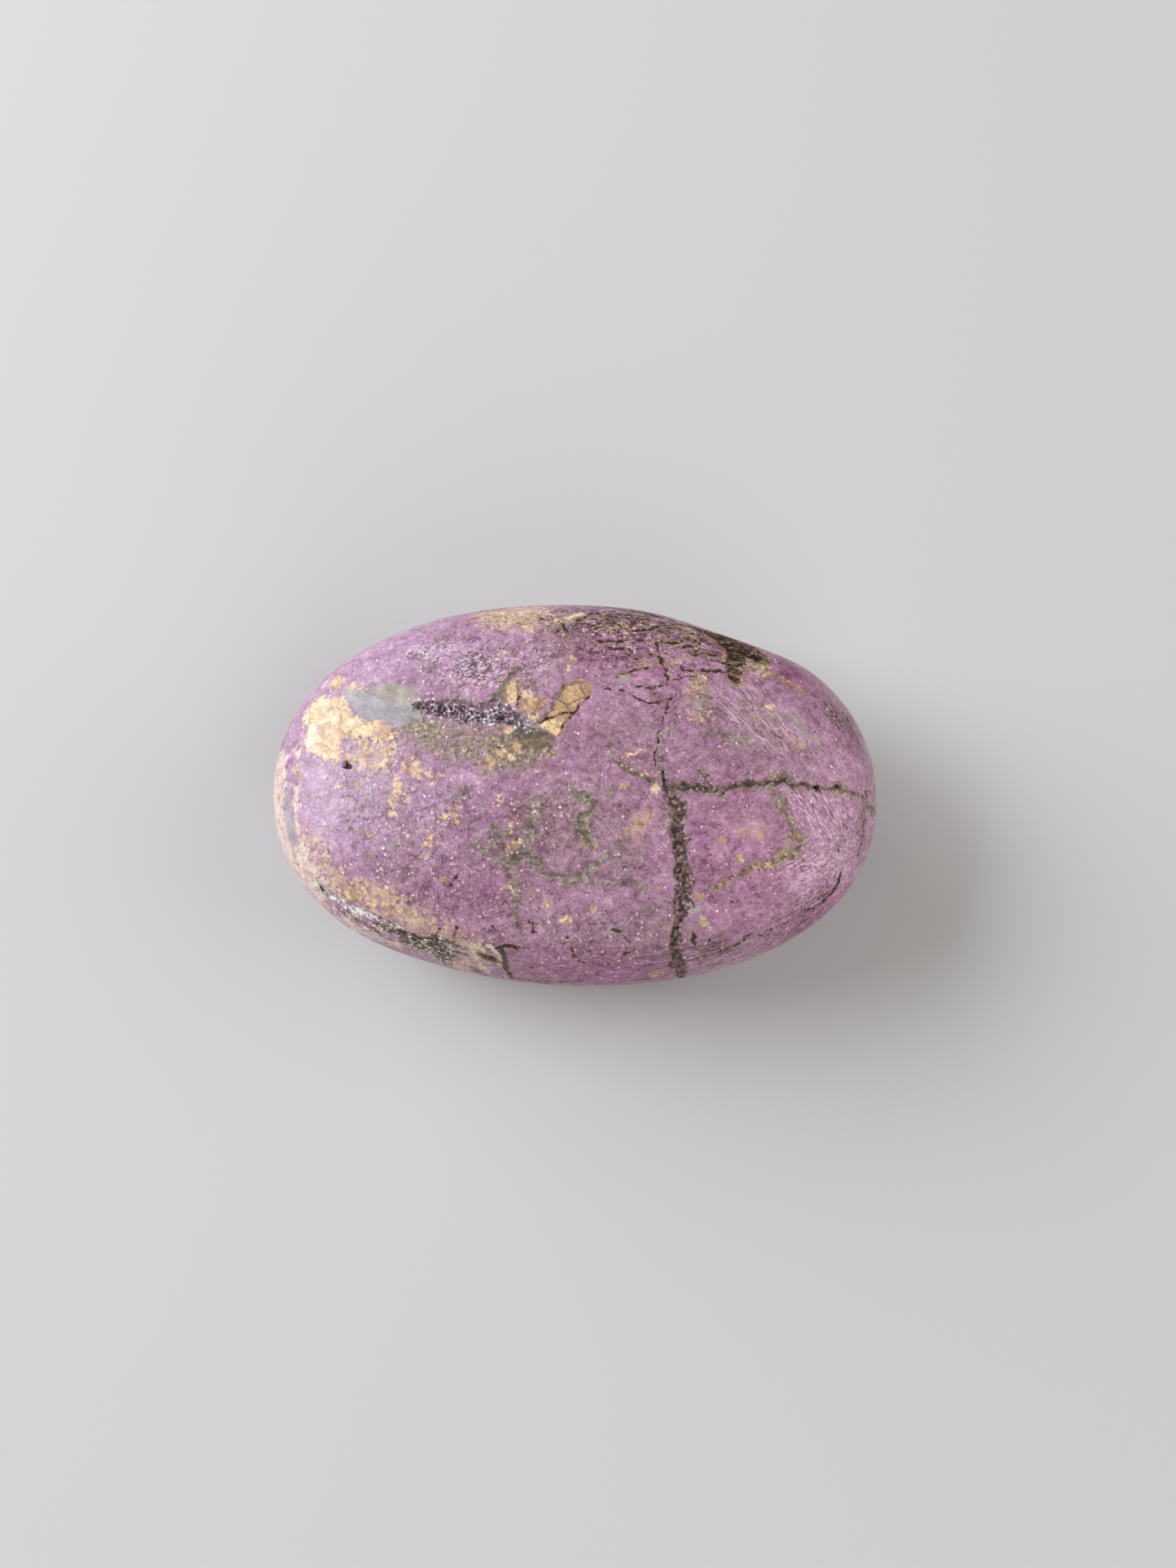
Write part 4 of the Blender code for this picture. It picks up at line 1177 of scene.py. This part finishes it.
# The grit's gap tone is painted shade between the grains.
SCRATCH_TONE = (84, 56, 50)
GRIT_GAP_SHADE_TONE = (40, 30, 30)
CRACK_TONE = (56, 35, 28)
SPOT_TONE = (52, 33, 27)
OLIVE_GRAIN_TONES = [
    (84, 76, 66), (114, 104, 90), (144, 130, 112), (178, 156, 124), (228, 204, 162),
]
BARK_TONES = [(118, 96, 76), (176, 148, 118), (214, 192, 160), (236, 220, 190)]
CRACK_SIDE_TONES = [(128, 102, 80), (168, 140, 112), (208, 186, 156)]
OLIVE_GRIT_TONES = [
    (52, 36, 31), (86, 67, 60), (112, 91, 83), (134, 114, 104), (160, 142, 130), (200, 184, 172),
]

# Streaks in the tone of the soft regions: region, direction, length, width, detail, offset, share
# The silky streaks are painted sheen on the fibres; the brushed ones are polishing lines.
TONE_STREAKS = [
    ("silk_sheen_down", -0.8, 4.5, 0.34, 2.0, 0.0, 1.1), ("silk_sheen_up", 0.3, 4.5, 0.34, 2.0, 3.0, 1.1),
    ("brushed", 0.0, 3.4, 0.20, 3.0, 5.0, 1.2),
]

# What each soft region adds to the tone; the pale and lilac shares lighten the upper left and the left
# end, partly as painted sheen, and the deep share darkens parts of the rims, partly as painted shade
TONE_SHARES = {
    "silk_sheen_down": -0.50, "silk_sheen_up": -0.38, "brushed": -0.53, "pale_sheen": 0.16, "lilac_sheen": 0.06,
    "dull": -0.08, "deep": -0.10, "hatch": 0.40,
}

# The soft regions' tints, as factors of the colour: lilac and pink are partly painted sheen, deep
# partly painted shade along the rims
TINTS = {"deep": (1.0, 0.70, 0.94), "pink": (1.13, 1.02, 1.10), "lilac_sheen": (0.97, 1.06, 1.09)}


def purple_ground(graph, grains):
    """The polished purple: grains, silky fibres and slow changes of tone and of warmth, with painted
    sheen on the left, the upper left and the silky parts, and painted shade along parts of the rims.
    """
    shares = [
        (graph.noise(grains.slow, 5.0, 2.0), 0.60),
        (graph.noise(grains.slow, 1.1, 5.0, 0.68), 1.35),
        (graph.noise(grains.place, 0.22, 2.0, 0.6), 0.85),
        (grains.crumbs, 0.20),
        (graph.cell_value(graph.cell_node(grains.slow, 0.9)), 0.16),
        (graph.bundles(grains.slow, 1.5, 3.0, 4.0, 1.5, 0.22, 2.0), 0.60),
    ]
    for name, direction, length, width, detail, offset, share in TONE_STREAKS:
        drawn = graph.streaks(grains.slow, direction, length, width, detail, offset)
        shares.append((graph.product(drawn, graph.field(name)), share))
    shares += [(graph.field(name), share) for name, share in TONE_SHARES.items()]
    tone = graph.total(*shares, (TONE_SHIFT, 1.0))
    low, high = TONE_MIDDLE - TONE_REACH, TONE_MIDDLE + TONE_REACH
    purple = graph.tones(tone, low, high, *PURPLES)
    dull = graph.tones(tone, low, high, *DULL_PURPLES)
    patchy = graph.total((grains.patchy, 1.0), (graph.field("dull"), 0.17))
    colour = graph.mix(graph.span(patchy, 0.50, 0.68, 0.0, 0.75), purple, dull)
    # Painted sheen: the left end is evened out towards a pale tone.
    colour = graph.lay(colour, BRUSHED_SHEEN_TONE, graph.field("brushed"), 0.3)
    for name, tint in TINTS.items():
        colour = graph.mix(graph.field(name), colour, tint, "MULTIPLY")
    return colour


# Strokes of painted sheen on the silky parts: region, direction, offset
SILK_SHEEN_STROKES = [
    ("silk_sheen_down", -0.87, 0.0), ("silk_sheen_down", -0.55, 5.0), ("silk_sheen_up", 0.16, 9.0),
    ("silk_sheen_up", 0.45, 13.0), ("silk_sheen_up", -0.60, 17.0),
]


def silk_sheen_strokes(graph, colour, grains):
    """Painted silky sheen: pale pink straight strokes on the fibres, which fan a little."""
    for name, direction, offset in SILK_SHEEN_STROKES:
        stroke = graph.bundles(grains.place, direction, 0.25, 6.0, 9.0, 0.26, 0.0, offset)
        reach = graph.total((stroke, 1.0), (graph.field(name), 0.05))
        colour = graph.lay(
            colour, SILK_SHEEN_TONE, graph.span(reach, 0.66, 0.78),
            graph.span(graph.field(name), 0.1, 0.8, 0.0, 0.75))
    return colour


# Seams: size of their winding, width, strength, offset, tone
SEAMS = [
    (2.4, 0.012, 0.60, 3.0, (112, 84, 90)), (1.2, 0.018, 0.45, 8.0, (132, 104, 104)),
    (1.8, 0.012, 0.50, 14.0, (220, 190, 204)), (3.2, 0.010, 0.55, 19.0, (128, 118, 104)),
]


def seams(graph, colour, grains):
    """Hair-fine wandering seams, duller or paler than the purple that they cross."""
    for size, width, strength, offset, tone in SEAMS:
        ridge = graph.ridge(graph.noise(grains.slow, size, 3.0, 0.6, offset))
        line = graph.span(ridge, width, 0.35 * width, 0.0, strength)
        shown = graph.span(graph.noise(grains.place, 2.6, 2.0, offset=offset + 1.0), 0.46, 0.58)
        colour = graph.lay(colour, tone, line, shown)
    return colour


def peach_parts(graph, colour, grains):
    """Soft peach clouding in the purple."""
    shown = graph.span(grains.patchy, 0.40, 0.62, 0.0, 0.72)
    return graph.lay(colour, PEACH_TONE, shown, graph.span(graph.field("peach"), 0.0, 0.8))


# Patches underneath: size, rarity, offset, tones
UNDER_PATCHES = [
    (6.0, 0.64, 40.0, (188, 150, 112), (224, 194, 148), (244, 226, 190)),
    (4.0, 0.66, 47.0, (104, 92, 76), (134, 120, 100), (164, 148, 122)),
    (5.0, 0.67, 55.0, (140, 138, 132), (160, 158, 152), (184, 180, 174)),
]

# Heights above the floor, in millimetres, where these patches start and where they are whole
UNDER_START = 9.0
UNDER_WHOLE = 5.0


def under_patches(graph, colour, grains):
    """Patches of cream, olive and grey on the lower half, which the shapes of the top end above."""
    height = graph.node("SeparateXYZ", {0: grains.place})[2]
    lower = graph.span(height, UNDER_START, UNDER_WHOLE)
    for size, rarity, offset, *tones in UNDER_PATCHES:
        spread = graph.noise(grains.slow, size, 5.0, 0.6, offset)
        mask = graph.product(graph.span(spread, rarity, rarity + 0.02, 0.0, 0.9), lower)
        colour = graph.mix(mask, colour, graph.tones(grains.patchy, 0.34, 0.66, *tones))
    return colour


def mineral(graph, colour, grains, name, ragged, strength, tones, edge="edge", soft=0.10, grow=0.0,
            veined=0.0, holes=0.0, streaked=0.0, grainy=0.0):
    """Lay one mineral over a colour: its edge ragged by some millimetres, its body mottled.

    Veined is the strength of the brown net in it, holes how far the ground shows through its
    gaps, streaked the share of its mottle that is drawn out one way, and grainy how much its
    crumbs differ.
    """
    mask = graph.patch(name, getattr(grains, edge), ragged, soft, grow)
    # The pale sheen region lightens the body a little too: painted sheen.
    body = graph.total(
        (grains.fine, 0.65 - streaked), (grains.brushed, streaked), (grains.broad, 0.55),
        (grains.crumbs, grainy), (graph.field("pale_sheen"), 0.04), (-0.5 * grainy, 1.0))
    tone = graph.tones(body, 0.42, 0.78, *tones)
    if veined:
        tone = graph.lay(tone, BROWN_NET_TONE, grains.brown_net, veined)
    if holes:
        mask = graph.product(mask, graph.span(grains.patchy, 0.42, 0.56, 1.0 - holes, 1.0))
    return graph.mix(graph.product(mask, strength), colour, tone)


def olive_grains(graph, colour, grains):
    """Olive and tan grains mixed loosely into the purple where the soft region is strong."""
    crumbs = graph.noise(grains.crumbled, 0.62, 5.0, 0.74)
    reach = graph.total((crumbs, 1.0), (graph.field("olive_grain"), 0.40))
    body = graph.tones(grains.fine, 0.38, 0.70, *OLIVE_GRAIN_TONES)
    return graph.mix(graph.span(reach, 0.62, 0.70, 0.0, 0.85), colour, body)


# Nets of veinlets: cell size, width, offset, strength, dark and light tone
VEINLETS = [
    (1.25, 0.080, 0.0, 0.50, (104, 74, 84), (204, 176, 160)),
    (0.70, 0.090, 11.0, 0.30, (118, 88, 98), (200, 172, 160)),
    (2.10, 0.040, 23.0, 0.70, (84, 58, 62), (224, 200, 178)),
]


def veinlets(graph, colour, grains):
    """A net of hair-fine brown and tan veins, broken and uneven."""
    shown = graph.span(graph.total((graph.field("net"), 0.30), (grains.broad, 1.0)), 0.52, 0.66)
    broken = graph.span(grains.fine, 0.40, 0.50)
    for size, width, offset, strength, dark, light in VEINLETS:
        edges = graph.cell_edges(grains.ragged, size, offset)
        line = graph.span(edges, width, 0.25 * width, 0.0, strength)
        warm = graph.span(graph.noise(grains.place, 1.3, 3.0, offset=offset + 4.0), 0.55, 0.64)
        tone = graph.mix(warm, srgb(*dark), srgb(*light))
        colour = graph.mix(graph.product(line, shown, broken), colour, tone)
    return colour


# Hatching: cell size, width and offset of its nets; direction, length and offset of its strokes
HATCH_NETS = [(0.80, 0.060, 29.0), (1.30, 0.045, 37.0)]
HATCH_STROKES = [(0.90, 1.8, 0.0), (-0.50, 1.4, 9.0), (0.35, 2.2, 17.0)]


def hatching(graph, colour, grains):
    """Short olive strokes and a fine dark net that cross the far left of the top."""
    region = graph.field("hatch")
    shown = graph.span(graph.total((grains.patchy, 1.0), (region, 0.12)), 0.58, 0.64)
    shown = graph.product(shown, graph.span(region, 0.0, 0.3))
    for size, width, offset in HATCH_NETS:
        line = graph.span(graph.cell_edges(grains.ragged, size, offset), width, 0.6 * width)
        colour = graph.lay(colour, HATCH_NET_TONE, line, shown, 0.80)
    for direction, length, offset in HATCH_STROKES:
        stroke = graph.streaks(grains.slow, direction, length, 0.17, 2.0, offset)
        reach = graph.span(graph.total((stroke, 1.0), (region, 0.15)), 0.715, 0.74)
        inside = graph.span(region, 0.0, 0.3, 0.0, 0.9)
        colour = graph.lay(colour, HATCH_STROKE_TONE, reach, inside)
    return colour


def rim_places(graph):
    """Places that follow the outline: round it, and up or down its sides."""
    inputs = {index: graph.field(name) for index, name in enumerate(("ring_x", "ring_y", "level"))}
    return graph.mapped(graph.node("CombineXYZ", inputs)[0])


# Dark cracks of the bark: offset, width, rarity
BARK_CRACKS = [(0.0, 0.050, 0.38), (9.0, 0.036, 0.42)]


def bark(graph, colour, grains, rim):
    """Broken skin along the far rim: tan flakes and dark cracks that follow the outline."""
    region = graph.field("bark")
    inside = graph.span(region, 0.02, 0.3)
    ragged = graph.warp(graph.mapped(rim, unit=(1.9, 1.9, 0.56)), 0.5, 0.9)
    body = graph.tones(grains.fine, 0.35, 0.64, *BARK_TONES)
    flakes = graph.total((graph.noise(ragged, 1.0, 4.0, 0.7, 5.0), 1.0), (region, 0.24))
    colour = graph.mix(graph.product(graph.span(flakes, 0.74, 0.82), inside), colour, body)
    for offset, width, rarity in BARK_CRACKS:
        ridge = graph.ridge(graph.noise(ragged, 1.0, 3.0, 0.6, offset))
        line = graph.math("LESS_THAN", ridge, graph.product(region, width))
        shown = graph.span(grains.patchy, rarity, rarity + 0.10, 0.0, 0.92)
        colour = graph.lay(colour, BARK_CRACK_TONE, line, shown)
    near = graph.product(graph.span(graph.field("crack"), -0.42, -0.04), region)
    shown = graph.span(graph.total((grains.broad, 1.0), (near, 0.14)), 0.54, 0.64, 0.0, 0.8)
    tone = graph.tones(grains.patchy, 0.40, 0.64, *CRACK_SIDE_TONES)
    return graph.mix(graph.product(near, shown), colour, tone)


# Scratches: length along the rim, width across it, offset, rarity
SCRATCHES = [(4.0, 0.24, 6.0, 0.70), (1.6, 0.30, 15.0, 0.735), (0.8, 0.26, 23.0, 0.70)]


def crease_lines(graph, colour, rim):
    """Faint brown scratches and flecks along the ground edge of the right end and the near rim."""
    for along, across, offset, rarity in SCRATCHES:
        drawn = graph.mapped(rim, offset, unit=(along, along, across))
        line = graph.noise(graph.warp(drawn, 1.0, 0.45), 1.0, 3.0, 0.62)
        reach = graph.total((line, 1.0), (graph.field("crease"), 0.16))
        shown = graph.span(reach, rarity, rarity + 0.03, 0.0, 0.88)
        colour = graph.lay(colour, SCRATCH_TONE, shown)
    return colour


# Specks: region, cell size, radius, rarity, what the region adds to their chance, offset, tone
SPECKS = [
    ("net", 0.50, 0.22, 0.975, 0.12, 21.0, (214, 186, 156)),
    ("net", 0.44, 0.22, 0.960, 0.10, 31.0, (104, 78, 80)),
    # This near-white speck is a painted glint.
    ("net", 0.80, 0.13, 0.985, 0.08, 41.0, (240, 230, 236)),
    ("net", 0.36, 0.30, 0.965, 0.08, 51.0, (222, 196, 208)),
    ("flecks", 0.62, 0.26, 1.0, 0.26, 61.0, (66, 44, 40)),
    ("flecks", 0.56, 0.24, 1.0, 0.20, 71.0, (212, 188, 160)),
]


def specks(graph, colour, grains):
    """Small tan, dark and pale lilac grains scattered through the polished skin, and near-white painted
    glints.
    """
    for name, size, radius, rarity, gain, offset, tone in SPECKS:
        cell = graph.cell_node(grains.crumbled, size, offset)
        away = graph.total((cell["Distance"], 1.0), (grains.fine, 0.8), (-0.4, 1.0))
        chance = graph.total((graph.cell_value(cell), 1.0), (graph.field(name), gain))
        colour = graph.lay(
            colour, tone, graph.span(away, 1.4 * radius, 0.8 * radius),
            graph.math("GREATER_THAN", chance, rarity))
    return colour


# Stains beside the broken places: field, reach in millimetres, strength, tone
STAINS = [
    ("crack", 0.34, 0.55, (148, 116, 96)), ("vein", 0.35, 0.50, (132, 114, 94)),
    ("cross", 0.60, 0.55, (134, 120, 98)), ("branch", 0.40, 0.60, (130, 116, 92)),
    ("shatter", 0.90, 0.75, (152, 124, 98)), ("stub", 0.70, 0.60, (168, 138, 112)),
    ("hollow", 0.80, 0.60, (140, 124, 112)),
]


def stains(graph, colour, grains):
    """Brown and olive staining in the purple beside the cracks and the open veins."""
    for name, reach, strength, tone in STAINS:
        near = graph.span(graph.field(name), -reach, 0.0)
        patchy = graph.total((grains.patchy, 1.0), (near, 0.16))
        colour = graph.lay(colour, tone, near, graph.span(patchy, 0.54, 0.66, 0.0, strength))
    return colour


# Open rock, the lowest layer first: field, ragged edge, strength and growth in millimetres,
# roughness, texture of the body with its range, tones from dark to light. A body without a
# texture is grit: crowded grains with painted shade in the gaps between them.
OPEN_ROCK = [
    ("ledge_grit", 0.25, 0.95, 0.10, 0.60, None,
     [(30, 22, 18), (70, 56, 46), (118, 102, 88), (184, 166, 142), (246, 238, 222)]),
    # The ledge's white lip: pale crystals and a painted highlight along the chipped edge.
    ("ledge_white_glint", 0.28, 0.97, 0.05, 0.40, ("edge", 0.36, 0.62),
     [(70, 70, 68), (156, 154, 150), (236, 234, 230), (253, 252, 250)]),
    ("pit_rim", 0.16, 0.90, 0.0, 0.45, ("fine", 0.36, 0.60),
     [(160, 136, 104), (206, 186, 152), (236, 222, 192)]),
    ("pit_floor", 0.10, 0.95, 0.0, 0.60, ("edge", 0.36, 0.62),
     [(52, 36, 20), (96, 72, 44), (140, 110, 76)]),
    ("branch", 0.20, 0.90, 0.0, 0.55, None, OLIVE_GRIT_TONES),
    ("cross", 0.24, 0.95, 0.0, 0.75, None, OLIVE_GRIT_TONES),
    ("vein", 0.24, 1.0, 0.02, 0.80, None,
     [(58, 42, 38), (90, 68, 62), (112, 88, 83), (130, 106, 101), (150, 126, 122),
      (186, 162, 160)]),
    ("stub", 0.36, 0.95, 0.18, 0.75, ("slivers", 0.42, 0.60),
     [(26, 17, 12), (70, 50, 36), (128, 102, 76), (186, 158, 126)]),
    ("shatter", 0.36, 1.0, 0.28, 0.80, ("slivers", 0.37, 0.68),
     [(22, 14, 10), (44, 30, 21), (72, 51, 37), (122, 94, 70), (184, 156, 124)]),
    ("hollow", 0.75, 1.0, 0.0, 0.22, None,
     [(34, 25, 32), (84, 66, 78), (136, 114, 130), (182, 160, 176), (244, 234, 242)]),
]
SLIVERED = ("stub", "shatter")


def rock_tones(graph, grains, texture, tones):
    """The tones of open rock; grit has one tone for each grain, and painted shade in the gaps between
    them.
    """
    if texture:
        name, low, high = texture
        return graph.tones(getattr(grains, name), low, high, *tones)
    body = graph.tones(
        graph.total((grains.crumbs, 0.75), (grains.patchy, 0.5)), 0.22, 1.0, *tones)
    return graph.lay(body, GRIT_GAP_SHADE_TONE, graph.span(grains.gaps, 0.42, 0.75, 0.0, 0.75))


def open_rock(graph, colour, rough, grains):
    """Dark granular veins, the shattered patch, the hollow's crystals, the ledge and cracks."""
    shaken = graph.total((grains.edge, 1.0), (grains.crumbs, 0.12), (-0.06, 1.0))
    for name, ragged, strength, grow, roughness, texture, tones in OPEN_ROCK:
        wobble = grains.slivers if name in SLIVERED else shaken
        mask = graph.patch(name, wobble, ragged, 0.06, grow)
        shown = graph.product(mask, strength)
        colour = graph.mix(shown, colour, rock_tones(graph, grains, texture, tones))
        rough = graph.node("Mix", {0: mask, 2: rough, 3: roughness}, data_type="FLOAT")[0]
    crack = graph.patch("crack", grains.edge, 0.14, 0.03, 0.02)
    colour = graph.lay(colour, CRACK_TONE, crack, 0.96)
    colour = graph.lay(colour, SPOT_TONE, graph.patch("spots", grains.edge, 0.24, 0.06))
    return colour, rough


# Minerals that are polished level with the purple, the lowest layer first: field, ragged edge in
# millimetres, strength, tones from dark to light, and details of the edge and the body
LOW_MINERALS = [
    ("olive", 0.80, 0.78,
     [(84, 76, 60), (118, 108, 88), (146, 132, 106), (180, 160, 124), (216, 196, 154)],
     {"edge": "wide_edge", "soft": 0.3, "holes": 0.65, "grainy": 0.25}),
    ("band", 0.30, 0.92, [(70, 63, 52), (106, 98, 84), (138, 130, 114), (182, 176, 158)],
     {"soft": 0.20, "holes": 0.25, "grainy": 0.25}),
    ("loop", 0.28, 0.94, [(66, 58, 44), (104, 93, 72), (138, 122, 96), (194, 166, 122)],
     {"soft": 0.14, "holes": 0.15, "grainy": 0.30}),
]
CREAM_GRAINS = [
    ("tan_net", 1.1, 0.82, [(134, 110, 88), (184, 156, 124), (224, 198, 158), (248, 234, 204)],
     {"holes": 0.45}),
    ("rim_cream", 0.80, 0.88, [(158, 132, 114), (212, 188, 166), (242, 225, 204), (253, 246, 234)],
     {"edge": "wide_edge", "soft": 0.40, "holes": 0.35, "veined": 0.2}),
]
HIGH_MINERALS = [
    ("sage", 0.45, 0.86, [(132, 126, 112), (158, 152, 138), (188, 182, 168)],
     {"edge": "wide_edge", "soft": 0.50, "streaked": 0.45}),
    ("blue", 0.35, 0.90, [(120, 120, 120), (154, 153, 153), (188, 186, 185)],
     {"edge": "wide_edge", "soft": 0.40, "streaked": 0.5}),
    ("tan", 0.26, 0.95, [(130, 102, 74), (170, 138, 104), (198, 162, 120), (232, 206, 162)],
     {"grow": -0.08, "veined": 0.8, "streaked": 0.25}),
    ("cream", 0.30, 0.97,
     [(156, 118, 84), (208, 166, 118), (234, 202, 150), (247, 228, 184), (252, 242, 210)],
     {"holes": 0.22, "veined": 0.5, "streaked": 0.45}),
    ("olive_solid", 0.24, 0.90, [(66, 57, 44), (100, 90, 74), (134, 122, 100)],
     {"holes": 0.15, "streaked": 0.25, "grainy": 0.25}),
]


def lay_minerals(graph, colour, grains, minerals):
    """Several minerals of a list, one over the other."""
    for name, ragged, strength, tones, details in minerals:
        colour = mineral(graph, colour, grains, name, ragged, strength, tones, **details)
    return colour


def polished_minerals(graph, colour, grains):
    """The minerals that are polished level with the purple, and the fine marks between them."""
    rim = rim_places(graph)
    colour = lay_minerals(graph, colour, grains, LOW_MINERALS)
    colour = olive_grains(graph, colour, grains)
    colour = lay_minerals(graph, colour, grains, CREAM_GRAINS)
    colour = veinlets(graph, colour, grains)
    colour = hatching(graph, colour, grains)
    colour = bark(graph, colour, grains, rim)
    colour = crease_lines(graph, colour, rim)
    colour = specks(graph, colour, grains)
    return lay_minerals(graph, colour, grains, HIGH_MINERALS)


# Skin: refraction, roughness from dull to bright mottle, and heights of its relief in millimetres
REFRACTION = 1.45
DULL_ROUGHNESS = 0.46
BRIGHT_ROUGHNESS = 0.34
MOTTLE_HEIGHT = 0.03
GRAIN_HEIGHT = 0.014


def stone_material():
    """Purple phosphate with cream, gold, olive and grey-blue patches, dark veins and cracks."""
    material = bpy.data.materials.new("purpurite")
    material.use_nodes = True
    graph = Graph(material)
    shader = graph.nodes["Principled BSDF"]
    place = graph.mapped(graph.node("TexCoord", {})["Object"], unit=(MM, MM, MM))
    grains = Grains(graph, place)
    mottle = graph.noise(place, 1.3, 5.0, 0.62)
    colour = purple_ground(graph, grains)
    for layer in (silk_sheen_strokes, seams, peach_parts, under_patches, polished_minerals, stains):
        colour = layer(graph, colour, grains)
    rough = graph.span(mottle, 0.3, 0.7, DULL_ROUGHNESS, BRIGHT_ROUGHNESS)
    colour, rough = open_rock(graph, colour, rough, grains)
    graph.feed(shader.inputs["Base Color"], colour)
    graph.feed(shader.inputs["Roughness"], rough)
    shader.inputs["IOR"].default_value = REFRACTION
    height = graph.total((mottle, MOTTLE_HEIGHT), (grains.fine, GRAIN_HEIGHT))
    bump = graph.node("Bump", {"Strength": 1.0, "Distance": MM, "Height": height})
    graph.feed(shader.inputs["Normal"], bump["Normal"])
    return material


def make_stone():
    data = fine_stone()
    data.materials.append(stone_material())
    stone = bpy.data.objects.new("polished_stone", data)
    bpy.context.scene.collection.objects.link(stone)
    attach(stone, "root")
    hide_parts(NODE)


# Studio: floor, soft lights and camera; lengths in metres
FLOOR_SIZE = 6.0
FLOOR_COLOUR = (0.56, 0.56, 0.55, 1.0)
FLOOR_ROUGHNESS = 0.9
SKY_COLOUR = (1.0, 0.98, 0.96, 1.0)
SKY_STRENGTH = 0.25
CAMERA_DISTANCE = 0.1305
CAMERA_ELEVATION = 75.0
CAMERA_ROLL = 1.15
CAMERA_AIM = (0.00138, 0.00098, 0.01165)
CAMERA_LENS = 27.04
CAMERA_SENSOR = 36.0
CAMERA_NEAREST = 0.01

# Square soft lights that face the stone: name, compass direction and elevation in degrees,
# distance, size, brightness against white, colour
LIGHTS = [
    ("window_light", 165.0, 32.0, 1.0, 0.58, 10.0, (0.93, 0.94, 1.0)),
    ("far_window_light", 134.0, 24.0, 1.0, 0.50, 4.2, (0.96, 0.94, 1.0)),
    ("right_light", 5.0, 30.0, 1.2, 1.0, 2.0, (1.0, 0.97, 0.95)),
    ("front_light", 290.0, 27.0, 1.2, 0.9, 1.9, (1.0, 0.97, 0.96)),
]


def make_floor():
    bpy.ops.mesh.primitive_plane_add(size=FLOOR_SIZE, location=(0.0, 0.0, 0.0))
    floor = bpy.context.object
    floor.name = "studio_floor"
    material = bpy.data.materials.new("studio_floor")
    material.use_nodes = True
    shader = material.node_tree.nodes["Principled BSDF"]
    shader.inputs["Base Color"].default_value = FLOOR_COLOUR
    shader.inputs["Roughness"].default_value = FLOOR_ROUGHNESS
    floor.data.materials.append(material)


def make_lights():
    for name, compass, elevation, distance, size, radiance, colour in LIGHTS:
        data = bpy.data.lights.new(name, "AREA")
        data.shape = "SQUARE"
        data.size = size
        data.energy = radiance * math.pi * size * size
        data.color = colour
        light = bpy.data.objects.new(name, data)
        bpy.context.scene.collection.objects.link(light)
        away = Vector(direction(compass, elevation))
        light.location = away * distance
        light.rotation_mode = "QUATERNION"
        light.rotation_quaternion = away.to_track_quat("Z", "Y")
    world = bpy.data.worlds.new("studio")
    world.use_nodes = True
    background = world.node_tree.nodes["Background"]
    background.inputs["Color"].default_value = SKY_COLOUR
    background.inputs["Strength"].default_value = SKY_STRENGTH
    bpy.context.scene.world = world


def make_camera():
    data = bpy.data.cameras.new("camera")
    data.lens = CAMERA_LENS
    data.sensor_width = CAMERA_SENSOR
    data.clip_start = CAMERA_NEAREST
    camera = bpy.data.objects.new("camera", data)
    bpy.context.scene.collection.objects.link(camera)
    lift = math.radians(CAMERA_ELEVATION)
    back = Vector((0.0, -math.cos(lift), math.sin(lift)))
    facing = (-back).to_track_quat("-Z", "Y").to_matrix().to_4x4()
    roll = Matrix.Rotation(math.radians(CAMERA_ROLL), 4, "Z")
    place = Matrix.Translation(Vector(CAMERA_AIM) + back * CAMERA_DISTANCE)
    camera.matrix_world = place @ facing @ roll
    bpy.context.scene.camera = camera


make_stone()
make_floor()
make_lights()
make_camera()
bpy.context.scene.view_settings.view_transform = "Standard"
